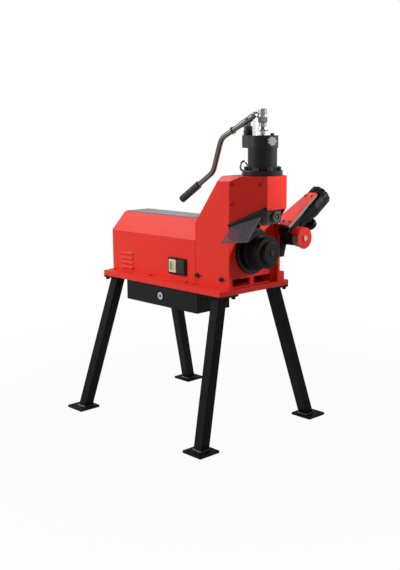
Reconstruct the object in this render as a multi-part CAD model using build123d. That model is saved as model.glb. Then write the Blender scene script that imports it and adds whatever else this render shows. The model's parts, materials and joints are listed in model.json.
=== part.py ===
from build123d import *
import math
import os

# Pipe roll groover on a four-legged stand. Millimetres, +Z up, origin on the floor below the middle
# of the table. +X is the roll end, where the pipe hangs; -Y is the operator's side.

# Clearances shared by the pieces that fit together
RUN = 0.05
SLIDE = 0.3
PLAY = 1.0

# Stand
TABLE_L = 700.0
TABLE_W = 375.0
TABLE_Z = 575.0
TABLE_SHEET = 4.0
TABLE_LIP = 20.0
TABLE_CORNER_R = 6.0
LEG_TUBE = 40.0
LEG_WALL = 3.0
TABLE_MARGIN = 27.5
LEG_INSET_X = 48.0
LEG_INSET_Y = 41.5
LEG_SPLAY_X = 56.0
LEG_SPLAY_Y = 150.0
LEG_FLANGE_X = 96.0
LEG_FLANGE_Y = 94.0
LEG_FLANGE_T = 7.0
LEG_BOLT_R = 5.0
LEG_BOLT_INSET = 13.0
LEG_BOLT_HEAD_R = 8.0
LEG_BOLT_HEAD_H = 8.0
LEG_WASHER_R = 9.5
LEG_WASHER_T = 2.5
LEG_NUT_R = 8.5
LEG_NUT_H = 7.0
LEG_BOLT_TAIL = 2.0
FOOT_SIZE = 97.0
FOOT_T = 8.0
FOOT_CORNER_R = 4.0
FOOT_OUT = 5.0
ANCHOR_R = 6.0
ANCHOR_OFFSET = 31.0

# Drawer under the table
DRAWER_X = 4.0
DRAWER_W = 420.0
DRAWER_H = 98.0
DRAWER_DEPTH = 168.0
DRAWER_SETBACK = 11.5
DRAWER_SHEET = 2.0
DRAWER_FRONT_T = 3.0
DRAWER_GAP = 1.5
DRAWER_LIP_GAP = 2.0
DRAWER_REAR_ROOM = 6.0
LOCK_R = 14.0
LOCK_FACE_T = 3.0
LOCK_BARREL_R = 9.0
LOCK_BARREL_L = 22.0
LOCK_CAM_L = 24.0
LOCK_CAM_W = 10.0
LOCK_CAM_T = 3.0
LOCK_KEY_W = 2.4

# Motor cover
COVER_SHOULDER = 167.0
COVER_H = 239.0
COVER_TOP_HALF = 65.0
COVER_SHEET = 2.0
COVER_FLANGE = 20.0
FLANGE_ROOM = 6.0
COVER_SEAM = 2.0
MAT_T = 3.0
MAT_MARGIN = 6.0
MAT_RIB = 1.2
MAT_RIB_PITCH = 10.0
LOUVRE_AT = 97.0
LOUVRE_L = 74.0
LOUVRE_LOW = 15.0
LOUVRE_PITCH = 19.3
LOUVRE_H = 9.0
LOUVRE_OUT = 6.0
LOUVRE_COUNT = 4
FLANGE_SCREW_REAR = 28.0
FLANGE_SCREW_FRONT = 41.0
SCREW_HEAD_R = 5.0
SCREW_HEAD_H = 3.0
SCREW_SHANK_R = 2.5
GLAND_Y = 80.0
GLAND_H = 45.0
GLAND_R = 11.0
GLAND_OUT = 20.0
GLAND_BORE_R = 4.5

# Switch on the operator's side of the cover
SWITCH_SETBACK = 99.0
SWITCH_H = 57.0
SWITCH_W = 102.0
SWITCH_TALL = 66.0
SWITCH_FACE = 6.0
SWITCH_RIM = 5.0
SWITCH_DEPTH = 34.0
BUTTON_W = 41.0
BUTTON_TALL = 50.0
BUTTON_GAP = 6.0
BUTTON_PROUD = 3.5
BUTTON_TRAVEL = 4.0
BUTTON_L = 20.0

# Head
PLATE_T = 12.0
HEAD_SETBACK = 8.0
HEAD_L = 180.0
HEAD_H = 395.0
HEAD_TOP_T = 18.0
HEAD_TOP_CHAMFER = 25.0
SLOPE_FOOT_H = 234.0
CROWN_L = 60.0
BACK_COVER_T = 3.0
BULKHEAD_T = 20.0
BULKHEAD_SETBACK = 50.0
FRONT_BULKHEAD_H = 195.0
REAR_BULKHEAD_H = 225.0
FRONT_PLATE_T = 12.0
FRONT_PLATE_SETBACK = 13.5
FRONT_PLATE_H = 222.0
FRONT_NOTCH_HALF = 44.0
FRONT_NOTCH_H = 195.0
SLOT_NEAR = 11.0
SLOT_EDGE = 19.0
SLOT_SILL = 4.0
SLOT_H = 28.0
PLATE_BOLT_H = 35.0
PLATE_BOLT_R = 6.0
PLATE_BOLT_HEAD_R = 9.0
PLATE_BOLT_HEAD_H = 8.0
PLATE_BOLT_DEPTH = 18.0
DOWEL_R = 4.0
DOWEL_STEP = 23.0
FAR_PLATE_OUT = 8.0
FAR_LUG_H = 37.0
FAR_LUG_L = 45.0
NOSE_OUT = 111.0
NOSE_HALF_W = 52.0
NOSE_BOTTOM_H = 293.0
PANEL_T = 3.0
PANEL_LOW_H = 233.0
PANEL_RISE = 64.0
PANEL_SCREW_INSET = 10.0

# Rolls and drive
SHAFT_H = 132.0
SHAFT_R = 25.0
BEARING_R = 45.0
ROLL_JOURNAL_R = 20.0
BEARING_COVER_R = 87.0
BEARING_COVER_T = 14.0
ROLL_OUT = 8.0
ROLL_FLANGE_T = 16.0
ROLL_FLANGE_R = 72.0
ROLL_R = 60.0
ROLL_L = 50.0
ROLL_NOSE_R = 43.0
ROLL_NOSE_L = 14.0
ROLL_NOSE_ROUND = 7.0
GROOVE_A = 19.0
GROOVE_W = 9.0
GROOVE_DEPTH = 3.5
ROLL_FRONT_T = 8.0
ROLL_SHANK_R = 5.0
ROLL_SCREW_R = 8.0
ROLL_SCREW_H = 4.0

# Ram and upper roll
RAM_L = 140.0
RAM_HALF_W = 36.0
RAM_CHEEK = 28.0
RAM_TRAVEL = 33.0
RAM_TOP_GAP = 4.0
GUIDE_FRONT_WALL = 13.0
GUIDE_REAR_WALL = 14.0
GUIDE_EAR_L = 42.0
AXLE_H = 268.0
AXLE_R = 14.0
AXLE_NUT_R = 17.5
AXLE_GROOVE_R = 12.0
AXLE_GROOVE_L = 6.0
AXLE_BOSS_R = 6.0
GROOVE_ROLL_R = 41.0
GROOVE_ROLL_SHOULDER = 4.0
GROOVE_ROLL_L = 34.0
GROOVE_RIDGE_W = 8.0
FORK_FRONT_DROP = 27.0
FORK_REAR_DROP = 21.0
FORK_ROOM = 8.0

# Hydraulic cylinder and pump
CYL_SETBACK = 73.0
CYL_R = 53.5
CYL_HEAD_R = 57.0
CYL_WALL = 14.5
CYL_FLANGE_R = 74.0
CYL_FLANGE_T = 20.0
CYL_FLOOR_T = 26.0
CYL_RESERVE = 11.0
CYL_HEAD_T = 45.0
ROD_R = 22.0
PISTON_T = 26.0
FLANGE_BOLT_COUNT = 8
FLANGE_BOLT_PCR = 64.0
FLANGE_BOLT_R = 4.0
FLANGE_BOLT_HEAD_R = 8.0
FLANGE_BOLT_HEAD_H = 12.0
PUMP_REACH = 70.0
PUMP_BOSS_R = 24.0
PUMP_R = 19.0
PUMP_L = 19.0
PUMP_BORE_L = 59.0
PLUNGER_R = 8.0
PLUNGER_CAP_R = 17.0
FILLER_OUT = 38.0
FILLER_Y = 10.0
FILLER_R = 7.0
FILLER_H = 8.0
RELEASE_ANGLE = -20.0
RELEASE_H = 25.0
RELEASE_R = 16.0
RELEASE_LOBE_R = 5.0
RELEASE_LOBES = 7
RELEASE_T = 12.0
RELEASE_STEM_R = 5.0
RELEASE_STEM_OUT = 9.0
RELEASE_STEM_IN = 20.0

# Depth adjuster on top of the cylinder
KNOB_NECK_R = 9.5
KNOB_NECK_L = 15.0
KNOB_SEAT_L = 6.0
KNOB_L = 80.0
KNOB_BASE_R = 20.0
KNOB_FLARE_H = 15.0
KNOB_WAIST_R = 14.2
KNOB_RING_R = 17.2
KNOB_RING_LOW = 32.0
KNOB_RING_HIGH = 53.0
KNOB_TOP_R = 15.5
KNOB_TIP_R = 12.5
KNOB_ROOF = 4.0
TAIL_R = 6.0
TAIL_COLLAR_R = 8.0
TAIL_COLLAR_T = 9.0

# Pump lever, in the middle plane of the machine
PIVOT_REACH = 32.0
PIVOT_H = 72.0
PIVOT_PIN_R = 5.0
LEVER_DROP = 25.7
SOCKET_R = 12.5
SOCKET_TAIL = 8.5
SOCKET_HOLD = 24.0
LEVER_ROD_R = 10.5
LEVER_REACH = 193.0
LEVER_KNEE = (-46.0, -129.0)
LEVER_HAND = (-180.0, -114.0)
LEVER_BEND_R = 58.0
LEVER_COLLAR_R = 14.5
LEVER_COLLAR_T = 6.0
LEVER_COLLAR_AT = 126.0
GRIP_R = 15.0
GRIP_L = 118.0
GRIP_WALL_CLEAR = 0.1
GRIP_RIBS = 14
GRIP_RIB_DEPTH = 1.2
LINK_W = 16.0
LINK_T = 9.0
LINK_GAP = 0.5
CROSS_PIN_R = 4.0
CROSS_SLOT_PLAY = 0.6

# Lifting eye
EYE_SETBACK = 45.0
EYE_Y = -12.0
EYE_RING_R = 18.0
EYE_WIRE_R = 4.0
EYE_COLLAR_R = 9.0
EYE_COLLAR_T = 6.0
EYE_NECK_L = 8.0
EYE_SHANK_R = 5.0

# Finger guard, hinged on a pin along the lower edge of the operator's corner panel
HINGE_BAR_W = 10.0
HINGE_BAR_T = 4.0
HINGE_PIN_R = 2.0
HINGE_GAP = 0.5
HINGE_LUG_L = 8.0
HINGE_LUG_W = 10.0
KNUCKLE_R = 4.5
GUARD_T = 2.0
GUARD_LEFT = (-54.0, -42.0)
GUARD_BOTTOM = (40.0, -78.0)
GUARD_RIGHT = (133.0, -8.0)
GUARD_HOLE_R = 2.0
GUARD_HOLE_PITCH = 6.6
GUARD_RIM = 2.5

# Pipe stabilizer on the far side
STAB_OUT = 35.0
STAB_SIDE = 10.0
STAB_H = 188.0
STAB_TILT = 34.5
STAB_W = 48.0
STAB_L = 200.0
STAB_BODY_TOP = 25.0
STAB_BODY_R = 20.0
BARREL_E = 60.0
BARREL_FULL_E = 150.0
BARREL_FOOT_R = 26.0
BARREL_R = 43.0
FOOT_GAP = 4.0
RAIL_T = 10.0
RAIL_SCREW_INSET = 22.0
COVER_STRIP_T = 5.0
COVER_STRIP_FLARE = 32.0
FLARE_START = 18.0
FLARE_FULL = 30.0
FLARE_END = -4.0
STAB_CAP = 9.0
SLIDER_R = 14.0
SLIDER_L = 201.0
SCREW_R = 6.0
SCREW_BLIND = 10.0
ROLLER_E = 13.4
ROLLER_M = -28.2
ROLLER_R = 36.0
ROLLER_L = 28.5
ROLLER_AXLE_R = 8.0
COLLAR_R = 12.0
COLLAR_L = 5.5
HOOD_R = 41.0
HOOD_T = 2.5
HOOD_DISC_T = 4.0
HOOD_LEAN = 25.0
HOOD_SPIGOT_R = 6.0
HOOD_CAP_R = 10.0
HOOD_CAP_T = 5.0
HOOD_CAP_SLOT = 3.0
BLOCK_E0 = -16.0
BLOCK_E1 = 30.0
BLOCK_M0 = -44.6
BLOCK_M1 = 25.0
WHEEL_R = 43.0
WHEEL_T = 32.0
WHEEL_FLUTES = 12
WHEEL_FLUTE_R = 5.0
WHEEL_GAP = 4.0
LOCK_E = 120.0
LOCK_BOSS_R = 14.0
LOCK_BOSS_L = 6.0
LOCK_KNOB_R = 28.0
LOCK_KNOB_T = 24.0
LOCK_KNOB_ROUND = 7.0
LOCK_SCREW_R = 5.0
BRACKET_T = 14.0
BRACKET_LOW_H = 95.0
BRACKET_FOOT = 20.0
BRACKET_REACH = 36.0

# Motor and gear train
MOTOR_R = 88.0
MOTOR_AT = 42.0
MOTOR_L = 220.0
MOTOR_WALL = 12.0
MOTOR_FOOT_HALF = 80.0
MOTOR_FOOT_L = 140.0
STATOR_BORE_R = 58.0
ROTOR_R = 57.0
MOTOR_SHAFT_R = 12.0
FAN_R = 72.0
FAN_T = 14.0
FAN_BLADES = 8
FAN_GAP = 8.0
COWL_L = 32.0
COWL_T = 2.0
GEARCASE_L = 160.0
GEARCASE_HALF_W = 74.0
GEARCASE_H = 212.0
GEARCASE_WALL = 8.0
GEAR_CENTRES = 50.0
FAST_MODULE = 1.25
FAST_PINION_TEETH = 10
SLOW_MODULE = 2.0
SLOW_PINION_TEETH = 10
FAST_FACE = 24.0
SLOW_FACE = 36.0
LAYSHAFT_R = 9.0
GEAR_SPACE = 14.0

# Places worked out from the sizes above
TABLE_UNDER = TABLE_Z - TABLE_SHEET
RIM_Z = TABLE_Z - TABLE_LIP
FLANGE_Z = RIM_Z - LEG_FLANGE_T
LEG_TOP_X = TABLE_L / 2 - LEG_INSET_X
LEG_TOP_Y = TABLE_W / 2 - LEG_INSET_Y
FOOT_X = LEG_TOP_X + LEG_SPLAY_X
FOOT_Y = LEG_TOP_Y + LEG_SPLAY_Y
HEAD_ROOM_Y = TABLE_W / 2 - TABLE_MARGIN
HEAD_HALF_W = HEAD_ROOM_Y - FLANGE_ROOM - COVER_FLANGE
HEAD_FRONT_X = TABLE_L / 2 - HEAD_SETBACK
HEAD_REAR_X = HEAD_FRONT_X - HEAD_L
SLOPE_TOP_X = HEAD_FRONT_X - CROWN_L
FRONT_BULKHEAD_X = HEAD_FRONT_X - BULKHEAD_SETBACK
NOSE_FRONT_X = HEAD_FRONT_X + NOSE_OUT
ROLL_FLANGE_X = HEAD_FRONT_X + ROLL_OUT
CYL_X = NOSE_FRONT_X - CYL_SETBACK
PUMP_X = CYL_X - PUMP_REACH
PIVOT_X = PUMP_X + PIVOT_REACH
FILLER_X = CYL_X + FILLER_OUT
EYE_X = HEAD_FRONT_X - EYE_SETBACK
COVER_REAR_X = -TABLE_L / 2
COVER_FRONT_X = HEAD_REAR_X - COVER_SEAM
LOUVRE_X = COVER_REAR_X + LOUVRE_AT
SWITCH_X = COVER_FRONT_X - SWITCH_SETBACK
MOTOR_REAR_X = COVER_REAR_X + MOTOR_AT
COVER_TOP_Z = TABLE_Z + COVER_H
HEAD_TOP_Z = TABLE_Z + HEAD_H
CROWN_Z = HEAD_TOP_Z + HEAD_TOP_T
SHAFT_Z = TABLE_Z + SHAFT_H
INNER_HALF_W = HEAD_HALF_W - PLATE_T
SLOT_FAR = INNER_HALF_W - SLOT_EDGE
FAR_LUG_Y = HEAD_ROOM_Y - PLAY
FAR_PLATE_X = HEAD_FRONT_X + FAR_PLATE_OUT
FRONT_PLATE_X = HEAD_FRONT_X - FRONT_PLATE_SETBACK
ROLL_X = ROLL_FLANGE_X + ROLL_FLANGE_T
ROLL_END_X = ROLL_X + ROLL_L + ROLL_NOSE_L
ROLL_SEAT_X = ROLL_END_X - ROLL_FRONT_T
GROOVE_X = ROLL_X + GROOVE_A + GROOVE_W / 2
RAM_X1 = NOSE_FRONT_X - GUIDE_FRONT_WALL
RAM_X0 = RAM_X1 - RAM_L
AXLE_Z = TABLE_Z + AXLE_H
NOSE_BOTTOM_Z = TABLE_Z + NOSE_BOTTOM_H
CYL_FLANGE_Z = CROWN_Z + CYL_FLANGE_T
CYL_FLOOR_Z = CROWN_Z + CYL_FLOOR_T
PISTON_Z = CYL_FLOOR_Z + RAM_TRAVEL + CYL_RESERVE
CYL_TOP_Z = PISTON_Z + PISTON_T + 3 * PLAY
CYL_HEAD_Z = CYL_TOP_Z + CYL_HEAD_T
PIVOT_Z = CYL_HEAD_Z + PIVOT_H
CYL_BORE_R = CYL_R - CYL_WALL
LEVER_TILT = math.radians(LEVER_DROP)
CROSS_PIN_Z = PIVOT_Z - (PIVOT_X - PUMP_X) * math.tan(LEVER_TILT)
PUMP_TOP_Z = CYL_HEAD_Z + PUMP_L
CAP_TOP_Z = CROSS_PIN_Z - SOCKET_R / math.cos(LEVER_TILT) - PLUNGER_CAP_R * math.tan(LEVER_TILT) - PLAY
PIN_AT = (PIVOT_X - PUMP_X) / math.cos(LEVER_TILT)
FORK_L = PIN_AT + PLUNGER_R / math.cos(LEVER_TILT) + SOCKET_R * math.tan(LEVER_TILT) + 2 * PLAY
SOCKET_L = FORK_L + SOCKET_HOLD
FAST_GEAR_TEETH = round(2 * GEAR_CENTRES / FAST_MODULE) - FAST_PINION_TEETH
SLOW_GEAR_TEETH = round(2 * GEAR_CENTRES / SLOW_MODULE) - SLOW_PINION_TEETH
LAYSHAFT_Z = SHAFT_Z - GEAR_CENTRES
MOTOR_FRONT_X = MOTOR_REAR_X + MOTOR_L
GEARCASE_X0 = MOTOR_FRONT_X
GEARCASE_X1 = GEARCASE_X0 + GEARCASE_L
FAST_X0 = GEARCASE_X0 + GEARCASE_WALL + GEAR_SPACE
SLOW_X0 = FAST_X0 + FAST_FACE + GEAR_SPACE
SWITCH_Z = TABLE_Z + SWITCH_H
STAB_X = HEAD_FRONT_X + STAB_OUT
LOCK_SHARE = (LOCK_E - BARREL_E) / (BARREL_FULL_E - BARREL_E)
LOCK_SEAT = BARREL_FOOT_R + (BARREL_R - BARREL_FOOT_R) * LOCK_SHARE + LOCK_BOSS_L
STAB_Y = HEAD_HALF_W + STAB_SIDE
ALONG = math.radians(STAB_TILT)

CORNER_RUN_X = NOSE_FRONT_X - HEAD_FRONT_X
CORNER_RUN_Y = HEAD_HALF_W - NOSE_HALF_W
CORNER_L = math.hypot(CORNER_RUN_X, CORNER_RUN_Y)
CORNER_DIR = Vector(CORNER_RUN_X / CORNER_L, CORNER_RUN_Y / CORNER_L, 0)
CORNER_OUT = Vector(CORNER_RUN_Y / CORNER_L, -CORNER_RUN_X / CORNER_L, 0)
PANEL_LOW_Z = TABLE_Z + PANEL_LOW_H
HINGE_SPAN = math.hypot(CORNER_L, PANEL_RISE)
HINGE_OUT = HINGE_BAR_T + KNUCKLE_R + HINGE_GAP
HINGE_DIR = Vector(CORNER_RUN_X / HINGE_SPAN, CORNER_RUN_Y / HINGE_SPAN, PANEL_RISE / HINGE_SPAN)

STAB_PLANE = Plane(
    origin=(STAB_X, STAB_Y, TABLE_Z + STAB_H),
    x_dir=(0, math.cos(ALONG), math.sin(ALONG)),
    z_dir=(1, 0, 0),
)
LEVER_PLANE = Plane(
    origin=(PIVOT_X, 0, PIVOT_Z),
    x_dir=(-math.cos(LEVER_TILT), 0, -math.sin(LEVER_TILT)),
    z_dir=(0, 1, 0),
)
PANEL_PLANE = Plane(
    origin=(HEAD_FRONT_X, -HEAD_HALF_W, PANEL_LOW_Z),
    x_dir=CORNER_DIR,
    z_dir=CORNER_OUT,
)
HINGE_PLANE = Plane(
    origin=(HEAD_FRONT_X, -HEAD_HALF_W, PANEL_LOW_Z),
    x_dir=HINGE_DIR,
    z_dir=CORNER_OUT,
)

BASE = (Align.CENTER, Align.CENTER, Align.MIN)


def block(x0, x1, y0, y1, z0, z1):
    """A box given by its low and high faces."""
    return Pos(x0, y0, z0) * Box(x1 - x0, y1 - y0, z1 - z0, align=(Align.MIN, Align.MIN, Align.MIN))


def rod_x(x0, x1, radius, y=0.0, z=0.0):
    return Pos(x0, y, z) * Rot(0, 90, 0) * Cylinder(radius, x1 - x0, align=BASE)


def rod_y(y0, y1, radius, x=0.0, z=0.0):
    return Pos(x, y0, z) * Rot(-90, 0, 0) * Cylinder(radius, y1 - y0, align=BASE)


def rod_z(z0, z1, radius, x=0.0, y=0.0):
    return Pos(x, y, z0) * Cylinder(radius, z1 - z0, align=BASE)


def prism_x(points, x0, x1):
    """A (Y, Z) outline carried from x0 to x1."""
    face = Plane((x0, 0, 0), x_dir=(0, 1, 0), z_dir=(1, 0, 0)) * Polygon(*points, align=None)
    return extrude(face, x1 - x0)


def prism_y(points, y0, y1):
    """An (X, Z) outline carried from y0 to y1."""
    face = Plane((0, y1, 0), x_dir=(1, 0, 0), z_dir=(0, -1, 0)) * Polygon(*points, align=None)
    return extrude(face, y1 - y0)


def prism_z(points, z0, z1):
    """An (X, Y) outline carried from z0 to z1."""
    return extrude(Pos(0, 0, z0) * Polygon(*points, align=None), z1 - z0)


def turned_x(points, y=0.0, z=0.0):
    """A turned piece about the X direction from its (x, radius) outline."""
    return Pos(0, y, z) * revolve(Polygon(*points, align=None), Axis.X)


def turned_z(points, x=0.0, y=0.0):
    """A turned piece about the Z direction from its (radius, z) outline."""
    return Pos(x, y, 0) * revolve(Plane.XZ * Polygon(*points, align=None), Axis.Z)


def pointing(position, direction):
    """A place whose Z runs along the direction."""
    return Plane(origin=position, z_dir=direction)


def screw(place, head_r, head_h, shank_r, shank_l):
    """A round-headed screw with a hexagon socket, seated at the place's origin, head up."""
    head = place * Cylinder(head_r, head_h, align=BASE)
    shank = place * Pos(0, 0, -shank_l) * Cylinder(shank_r, shank_l, align=BASE)
    socket = place * Pos(0, 0, head_h / 2) * extrude(RegularPolygon(head_r * 0.5, 6), head_h)
    return head + shank - socket


def screw_hole(place, shank_r, depth):
    return place * Pos(0, 0, -depth) * Cylinder(shank_r + SLIDE, depth + PLAY, align=BASE)


def gear(teeth, module, x0, x1, z, phase):
    """A spur gear about the X direction at height z, with one tooth at the phase angle."""
    pitch = 360.0 / teeth
    root_r = module * (teeth / 2 - 1.2)
    tip_r = module * (teeth / 2 + 0.85)
    points = []
    for tooth in range(teeth):
        middle = phase + tooth * pitch
        for radius, share in ((root_r, -0.28), (tip_r, -0.10), (tip_r, 0.10), (root_r, 0.28)):
            angle = math.radians(middle + share * pitch)
            points.append((radius * math.cos(angle), z + radius * math.sin(angle)))
    return prism_x(points, x0, x1)


def mirrored(shape):
    """The same piece on the far side of the machine."""
    return mirror(shape, about=Plane.XZ)


def leg_bolt_places(side_x, side_y):
    """Four places, all the same distance in from the edges of one leg's flange."""
    outer_x = TABLE_L / 2 - LEG_BOLT_INSET
    outer_y = TABLE_W / 2 - LEG_BOLT_INSET
    inner_x = TABLE_L / 2 - LEG_FLANGE_X + LEG_BOLT_INSET
    inner_y = TABLE_W / 2 - LEG_FLANGE_Y + LEG_BOLT_INSET
    return [(side_x * x, side_y * y) for x in (inner_x, outer_x) for y in (inner_y, outer_y)]


def corner_plate(side_x, side_y, low, high):
    """Plate the size of a leg flange in one corner of the table's outline."""
    x = sorted((side_x * TABLE_L / 2, side_x * (TABLE_L / 2 - LEG_FLANGE_X)))
    y = sorted((side_y * TABLE_W / 2, side_y * (TABLE_W / 2 - LEG_FLANGE_Y)))
    outline = extrude(RectangleRounded(TABLE_L, TABLE_W, TABLE_CORNER_R), high - low)
    return block(x[0], x[1], y[0], y[1], low, high) & (Pos(0, 0, low) * outline)


ALL_LEGS = [(1, -1), (1, 1), (-1, -1), (-1, 1)]
FLANGE_SCREW_XS = (
    COVER_REAR_X + FLANGE_SCREW_REAR,
    (COVER_REAR_X + COVER_FRONT_X) / 2,
    COVER_FRONT_X - FLANGE_SCREW_FRONT,
)
FLANGE_SCREWS = [
    pointing((x, side * (HEAD_HALF_W + COVER_FLANGE / 2), TABLE_Z + COVER_SHEET), (0, 0, 1))
    for side in (-1, 1)
    for x in FLANGE_SCREW_XS
]
BULKHEAD_XS = (HEAD_REAR_X + BULKHEAD_T / 2, FRONT_BULKHEAD_X + BULKHEAD_T / 2)
PLATE_BOLT_ZS = {-1: TABLE_Z + PLATE_BOLT_H, 1: TABLE_Z + FAR_LUG_H + PLATE_BOLT_H}
PLATE_BOLTS = [
    pointing((x, side * HEAD_HALF_W, z), (0, side, 0))
    for side, z in PLATE_BOLT_ZS.items()
    for x in BULKHEAD_XS
]
DOWELS = [
    pointing((x + DOWEL_STEP, side * HEAD_HALF_W, z), (0, side, 0))
    for side, z in PLATE_BOLT_ZS.items()
    for x in BULKHEAD_XS
]
FLANGE_BOLTS = [
    Pos(CYL_X, 0, CYL_FLANGE_Z) * Rot(0, 0, (step + 0.5) * 360 / FLANGE_BOLT_COUNT)
    * Pos(FLANGE_BOLT_PCR, 0, 0)
    for step in range(FLANGE_BOLT_COUNT)
]
PANEL_TOP = HEAD_TOP_Z - PANEL_LOW_Z
PANEL_SCREWS = [
    (PANEL_SCREW_INSET, PANEL_TOP - PANEL_SCREW_INSET),
    (CORNER_L - PANEL_SCREW_INSET - NOSE_HALF_W / 3, PANEL_TOP - PANEL_SCREW_INSET),
    (PANEL_SCREW_INSET, PANEL_TOP / 2),
]
STRIP_TOP = STAB_BODY_TOP + RAIL_T + COVER_STRIP_T
STRIP_SCREWS = [
    STAB_PLANE * Pos(at, STRIP_TOP, side * STAB_W / 3) * Rot(-90, 0, 0)
    for at in (RAIL_SCREW_INSET, STAB_L - RAIL_SCREW_INSET)
    for side in (-1, 1)
]


def base_tray():
    """Folded table top with a lip all round and a gusset across each corner for the leg."""
    tray = extrude(RectangleRounded(TABLE_L, TABLE_W, TABLE_CORNER_R), TABLE_LIP)
    inner_r = max(TABLE_CORNER_R - TABLE_SHEET, 1.0)
    hollow = RectangleRounded(TABLE_L - 2 * TABLE_SHEET, TABLE_W - 2 * TABLE_SHEET, inner_r)
    tray = Pos(0, 0, RIM_Z) * (tray - extrude(hollow, TABLE_LIP - TABLE_SHEET))
    for side_x, side_y in ALL_LEGS:
        tray += corner_plate(side_x, side_y, RIM_Z, RIM_Z + TABLE_SHEET)
        for x, y in leg_bolt_places(side_x, side_y):
            tray -= rod_z(RIM_Z - PLAY, RIM_Z + TABLE_SHEET + PLAY, LEG_BOLT_R + SLIDE, x, y)
    for place in FLANGE_SCREWS:
        tray -= screw_hole(place, SCREW_SHANK_R, COVER_SHEET + TABLE_SHEET + PLAY)
    return tray


def leg(side_x, side_y):
    """Splayed square tube welded between a foot plate and a flange under the table."""
    top = Vector(side_x * LEG_TOP_X, side_y * LEG_TOP_Y, FLANGE_Z)
    foot = Vector(side_x * FOOT_X, side_y * FOOT_Y, 0)
    run = top - foot
    tube_plane = Plane(origin=foot - run * 0.1, x_dir=(1, 0, -run.X / run.Z), z_dir=run)
    outer = tube_plane * extrude(Rectangle(LEG_TUBE, LEG_TUBE), run.length * 1.2)
    inner_side = LEG_TUBE - 2 * LEG_WALL
    inner = tube_plane * extrude(Rectangle(inner_side, inner_side), run.length * 1.2)
    reach = TABLE_L + TABLE_W
    keep = block(-reach, reach, -reach, reach, FOOT_T, FLANGE_Z)
    tube = (outer - inner) & keep
    plate_x = foot.X + side_x * FOOT_OUT
    plate_y = foot.Y + side_y * FOOT_OUT
    plate = Pos(plate_x, plate_y, 0) * extrude(RectangleRounded(FOOT_SIZE, FOOT_SIZE, FOOT_CORNER_R), FOOT_T)
    anchor_x = plate_x + side_x * ANCHOR_OFFSET
    anchor_y = plate_y + side_y * ANCHOR_OFFSET
    plate -= rod_z(-PLAY, FOOT_T + PLAY, ANCHOR_R, anchor_x, anchor_y)
    flange = corner_plate(side_x, side_y, FLANGE_Z, RIM_Z)
    for x, y in leg_bolt_places(side_x, side_y):
        flange -= rod_z(FLANGE_Z - PLAY, RIM_Z + PLAY, LEG_BOLT_R + SLIDE, x, y)
    return tube + plate + flange


def leg_bolts():
    """Bolts up through the leg flanges, each with a washer, and a nut on the corner gusset."""
    nut_z = RIM_Z + TABLE_SHEET
    washer_z = FLANGE_Z - LEG_WASHER_T
    head_z = washer_z - LEG_BOLT_HEAD_H
    head = extrude(RegularPolygon(LEG_BOLT_HEAD_R, 6), LEG_BOLT_HEAD_H)
    nut = extrude(RegularPolygon(LEG_NUT_R, 6), LEG_NUT_H)
    bolts = []
    for side_x, side_y in ALL_LEGS:
        for x, y in leg_bolt_places(side_x, side_y):
            bolt = rod_z(head_z, nut_z + LEG_NUT_H + LEG_BOLT_TAIL, LEG_BOLT_R, x, y)
            bolt += Pos(x, y, head_z) * head
            bolt += rod_z(washer_z, FLANGE_Z, LEG_WASHER_R, x, y)
            bolts.append(bolt + Pos(x, y, nut_z) * nut)
    return bolts


DRAWER_FRONT_Y = -TABLE_W / 2 + DRAWER_SETBACK
DRAWER_X0 = DRAWER_X - DRAWER_W / 2
DRAWER_X1 = DRAWER_X + DRAWER_W / 2
DRAWER_Z0 = TABLE_UNDER - DRAWER_H
CASE_FRONT_Y = DRAWER_FRONT_Y + DRAWER_FRONT_T
DRAWER_TOP_Z = RIM_Z - DRAWER_LIP_GAP
LOCK_Z = (DRAWER_Z0 + DRAWER_TOP_Z) / 2


def drawer_case():
    """Sheet case hung under the table, open towards the operator."""
    rear = CASE_FRONT_Y + DRAWER_DEPTH
    case = block(DRAWER_X0, DRAWER_X1, CASE_FRONT_Y, rear, DRAWER_Z0, TABLE_UNDER)
    room = block(
        DRAWER_X0 + DRAWER_SHEET,
        DRAWER_X1 - DRAWER_SHEET,
        CASE_FRONT_Y - PLAY,
        rear - DRAWER_SHEET,
        DRAWER_Z0 + DRAWER_SHEET,
        TABLE_UNDER - DRAWER_SHEET,
    )
    return case - room


def drawer_box():
    """Open tray with its front panel."""
    x0 = DRAWER_X0 + DRAWER_SHEET + DRAWER_GAP
    x1 = DRAWER_X1 - DRAWER_SHEET - DRAWER_GAP
    z0 = DRAWER_Z0 + DRAWER_SHEET + SLIDE
    rear = CASE_FRONT_Y + DRAWER_DEPTH - DRAWER_SHEET - DRAWER_REAR_ROOM
    box = block(x0, x1, CASE_FRONT_Y, rear, z0, DRAWER_TOP_Z - DRAWER_FRONT_T)
    box -= block(
        x0 + DRAWER_SHEET,
        x1 - DRAWER_SHEET,
        CASE_FRONT_Y,
        rear - DRAWER_SHEET,
        z0 + DRAWER_SHEET,
        DRAWER_TOP_Z,
    )
    seat_y = CASE_FRONT_Y - SLIDE
    wall_z = DRAWER_TOP_Z - DRAWER_FRONT_T
    front = block(DRAWER_X0, DRAWER_X1, DRAWER_FRONT_Y, seat_y, DRAWER_Z0, DRAWER_TOP_Z)
    front += block(x0, x1, seat_y, CASE_FRONT_Y + DRAWER_SHEET, z0, wall_z)
    hole_end = CASE_FRONT_Y + 2 * DRAWER_SHEET
    hole = rod_y(DRAWER_FRONT_Y - PLAY, hole_end, LOCK_BARREL_R + RUN, DRAWER_X, LOCK_Z)
    return box + front - hole


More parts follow.
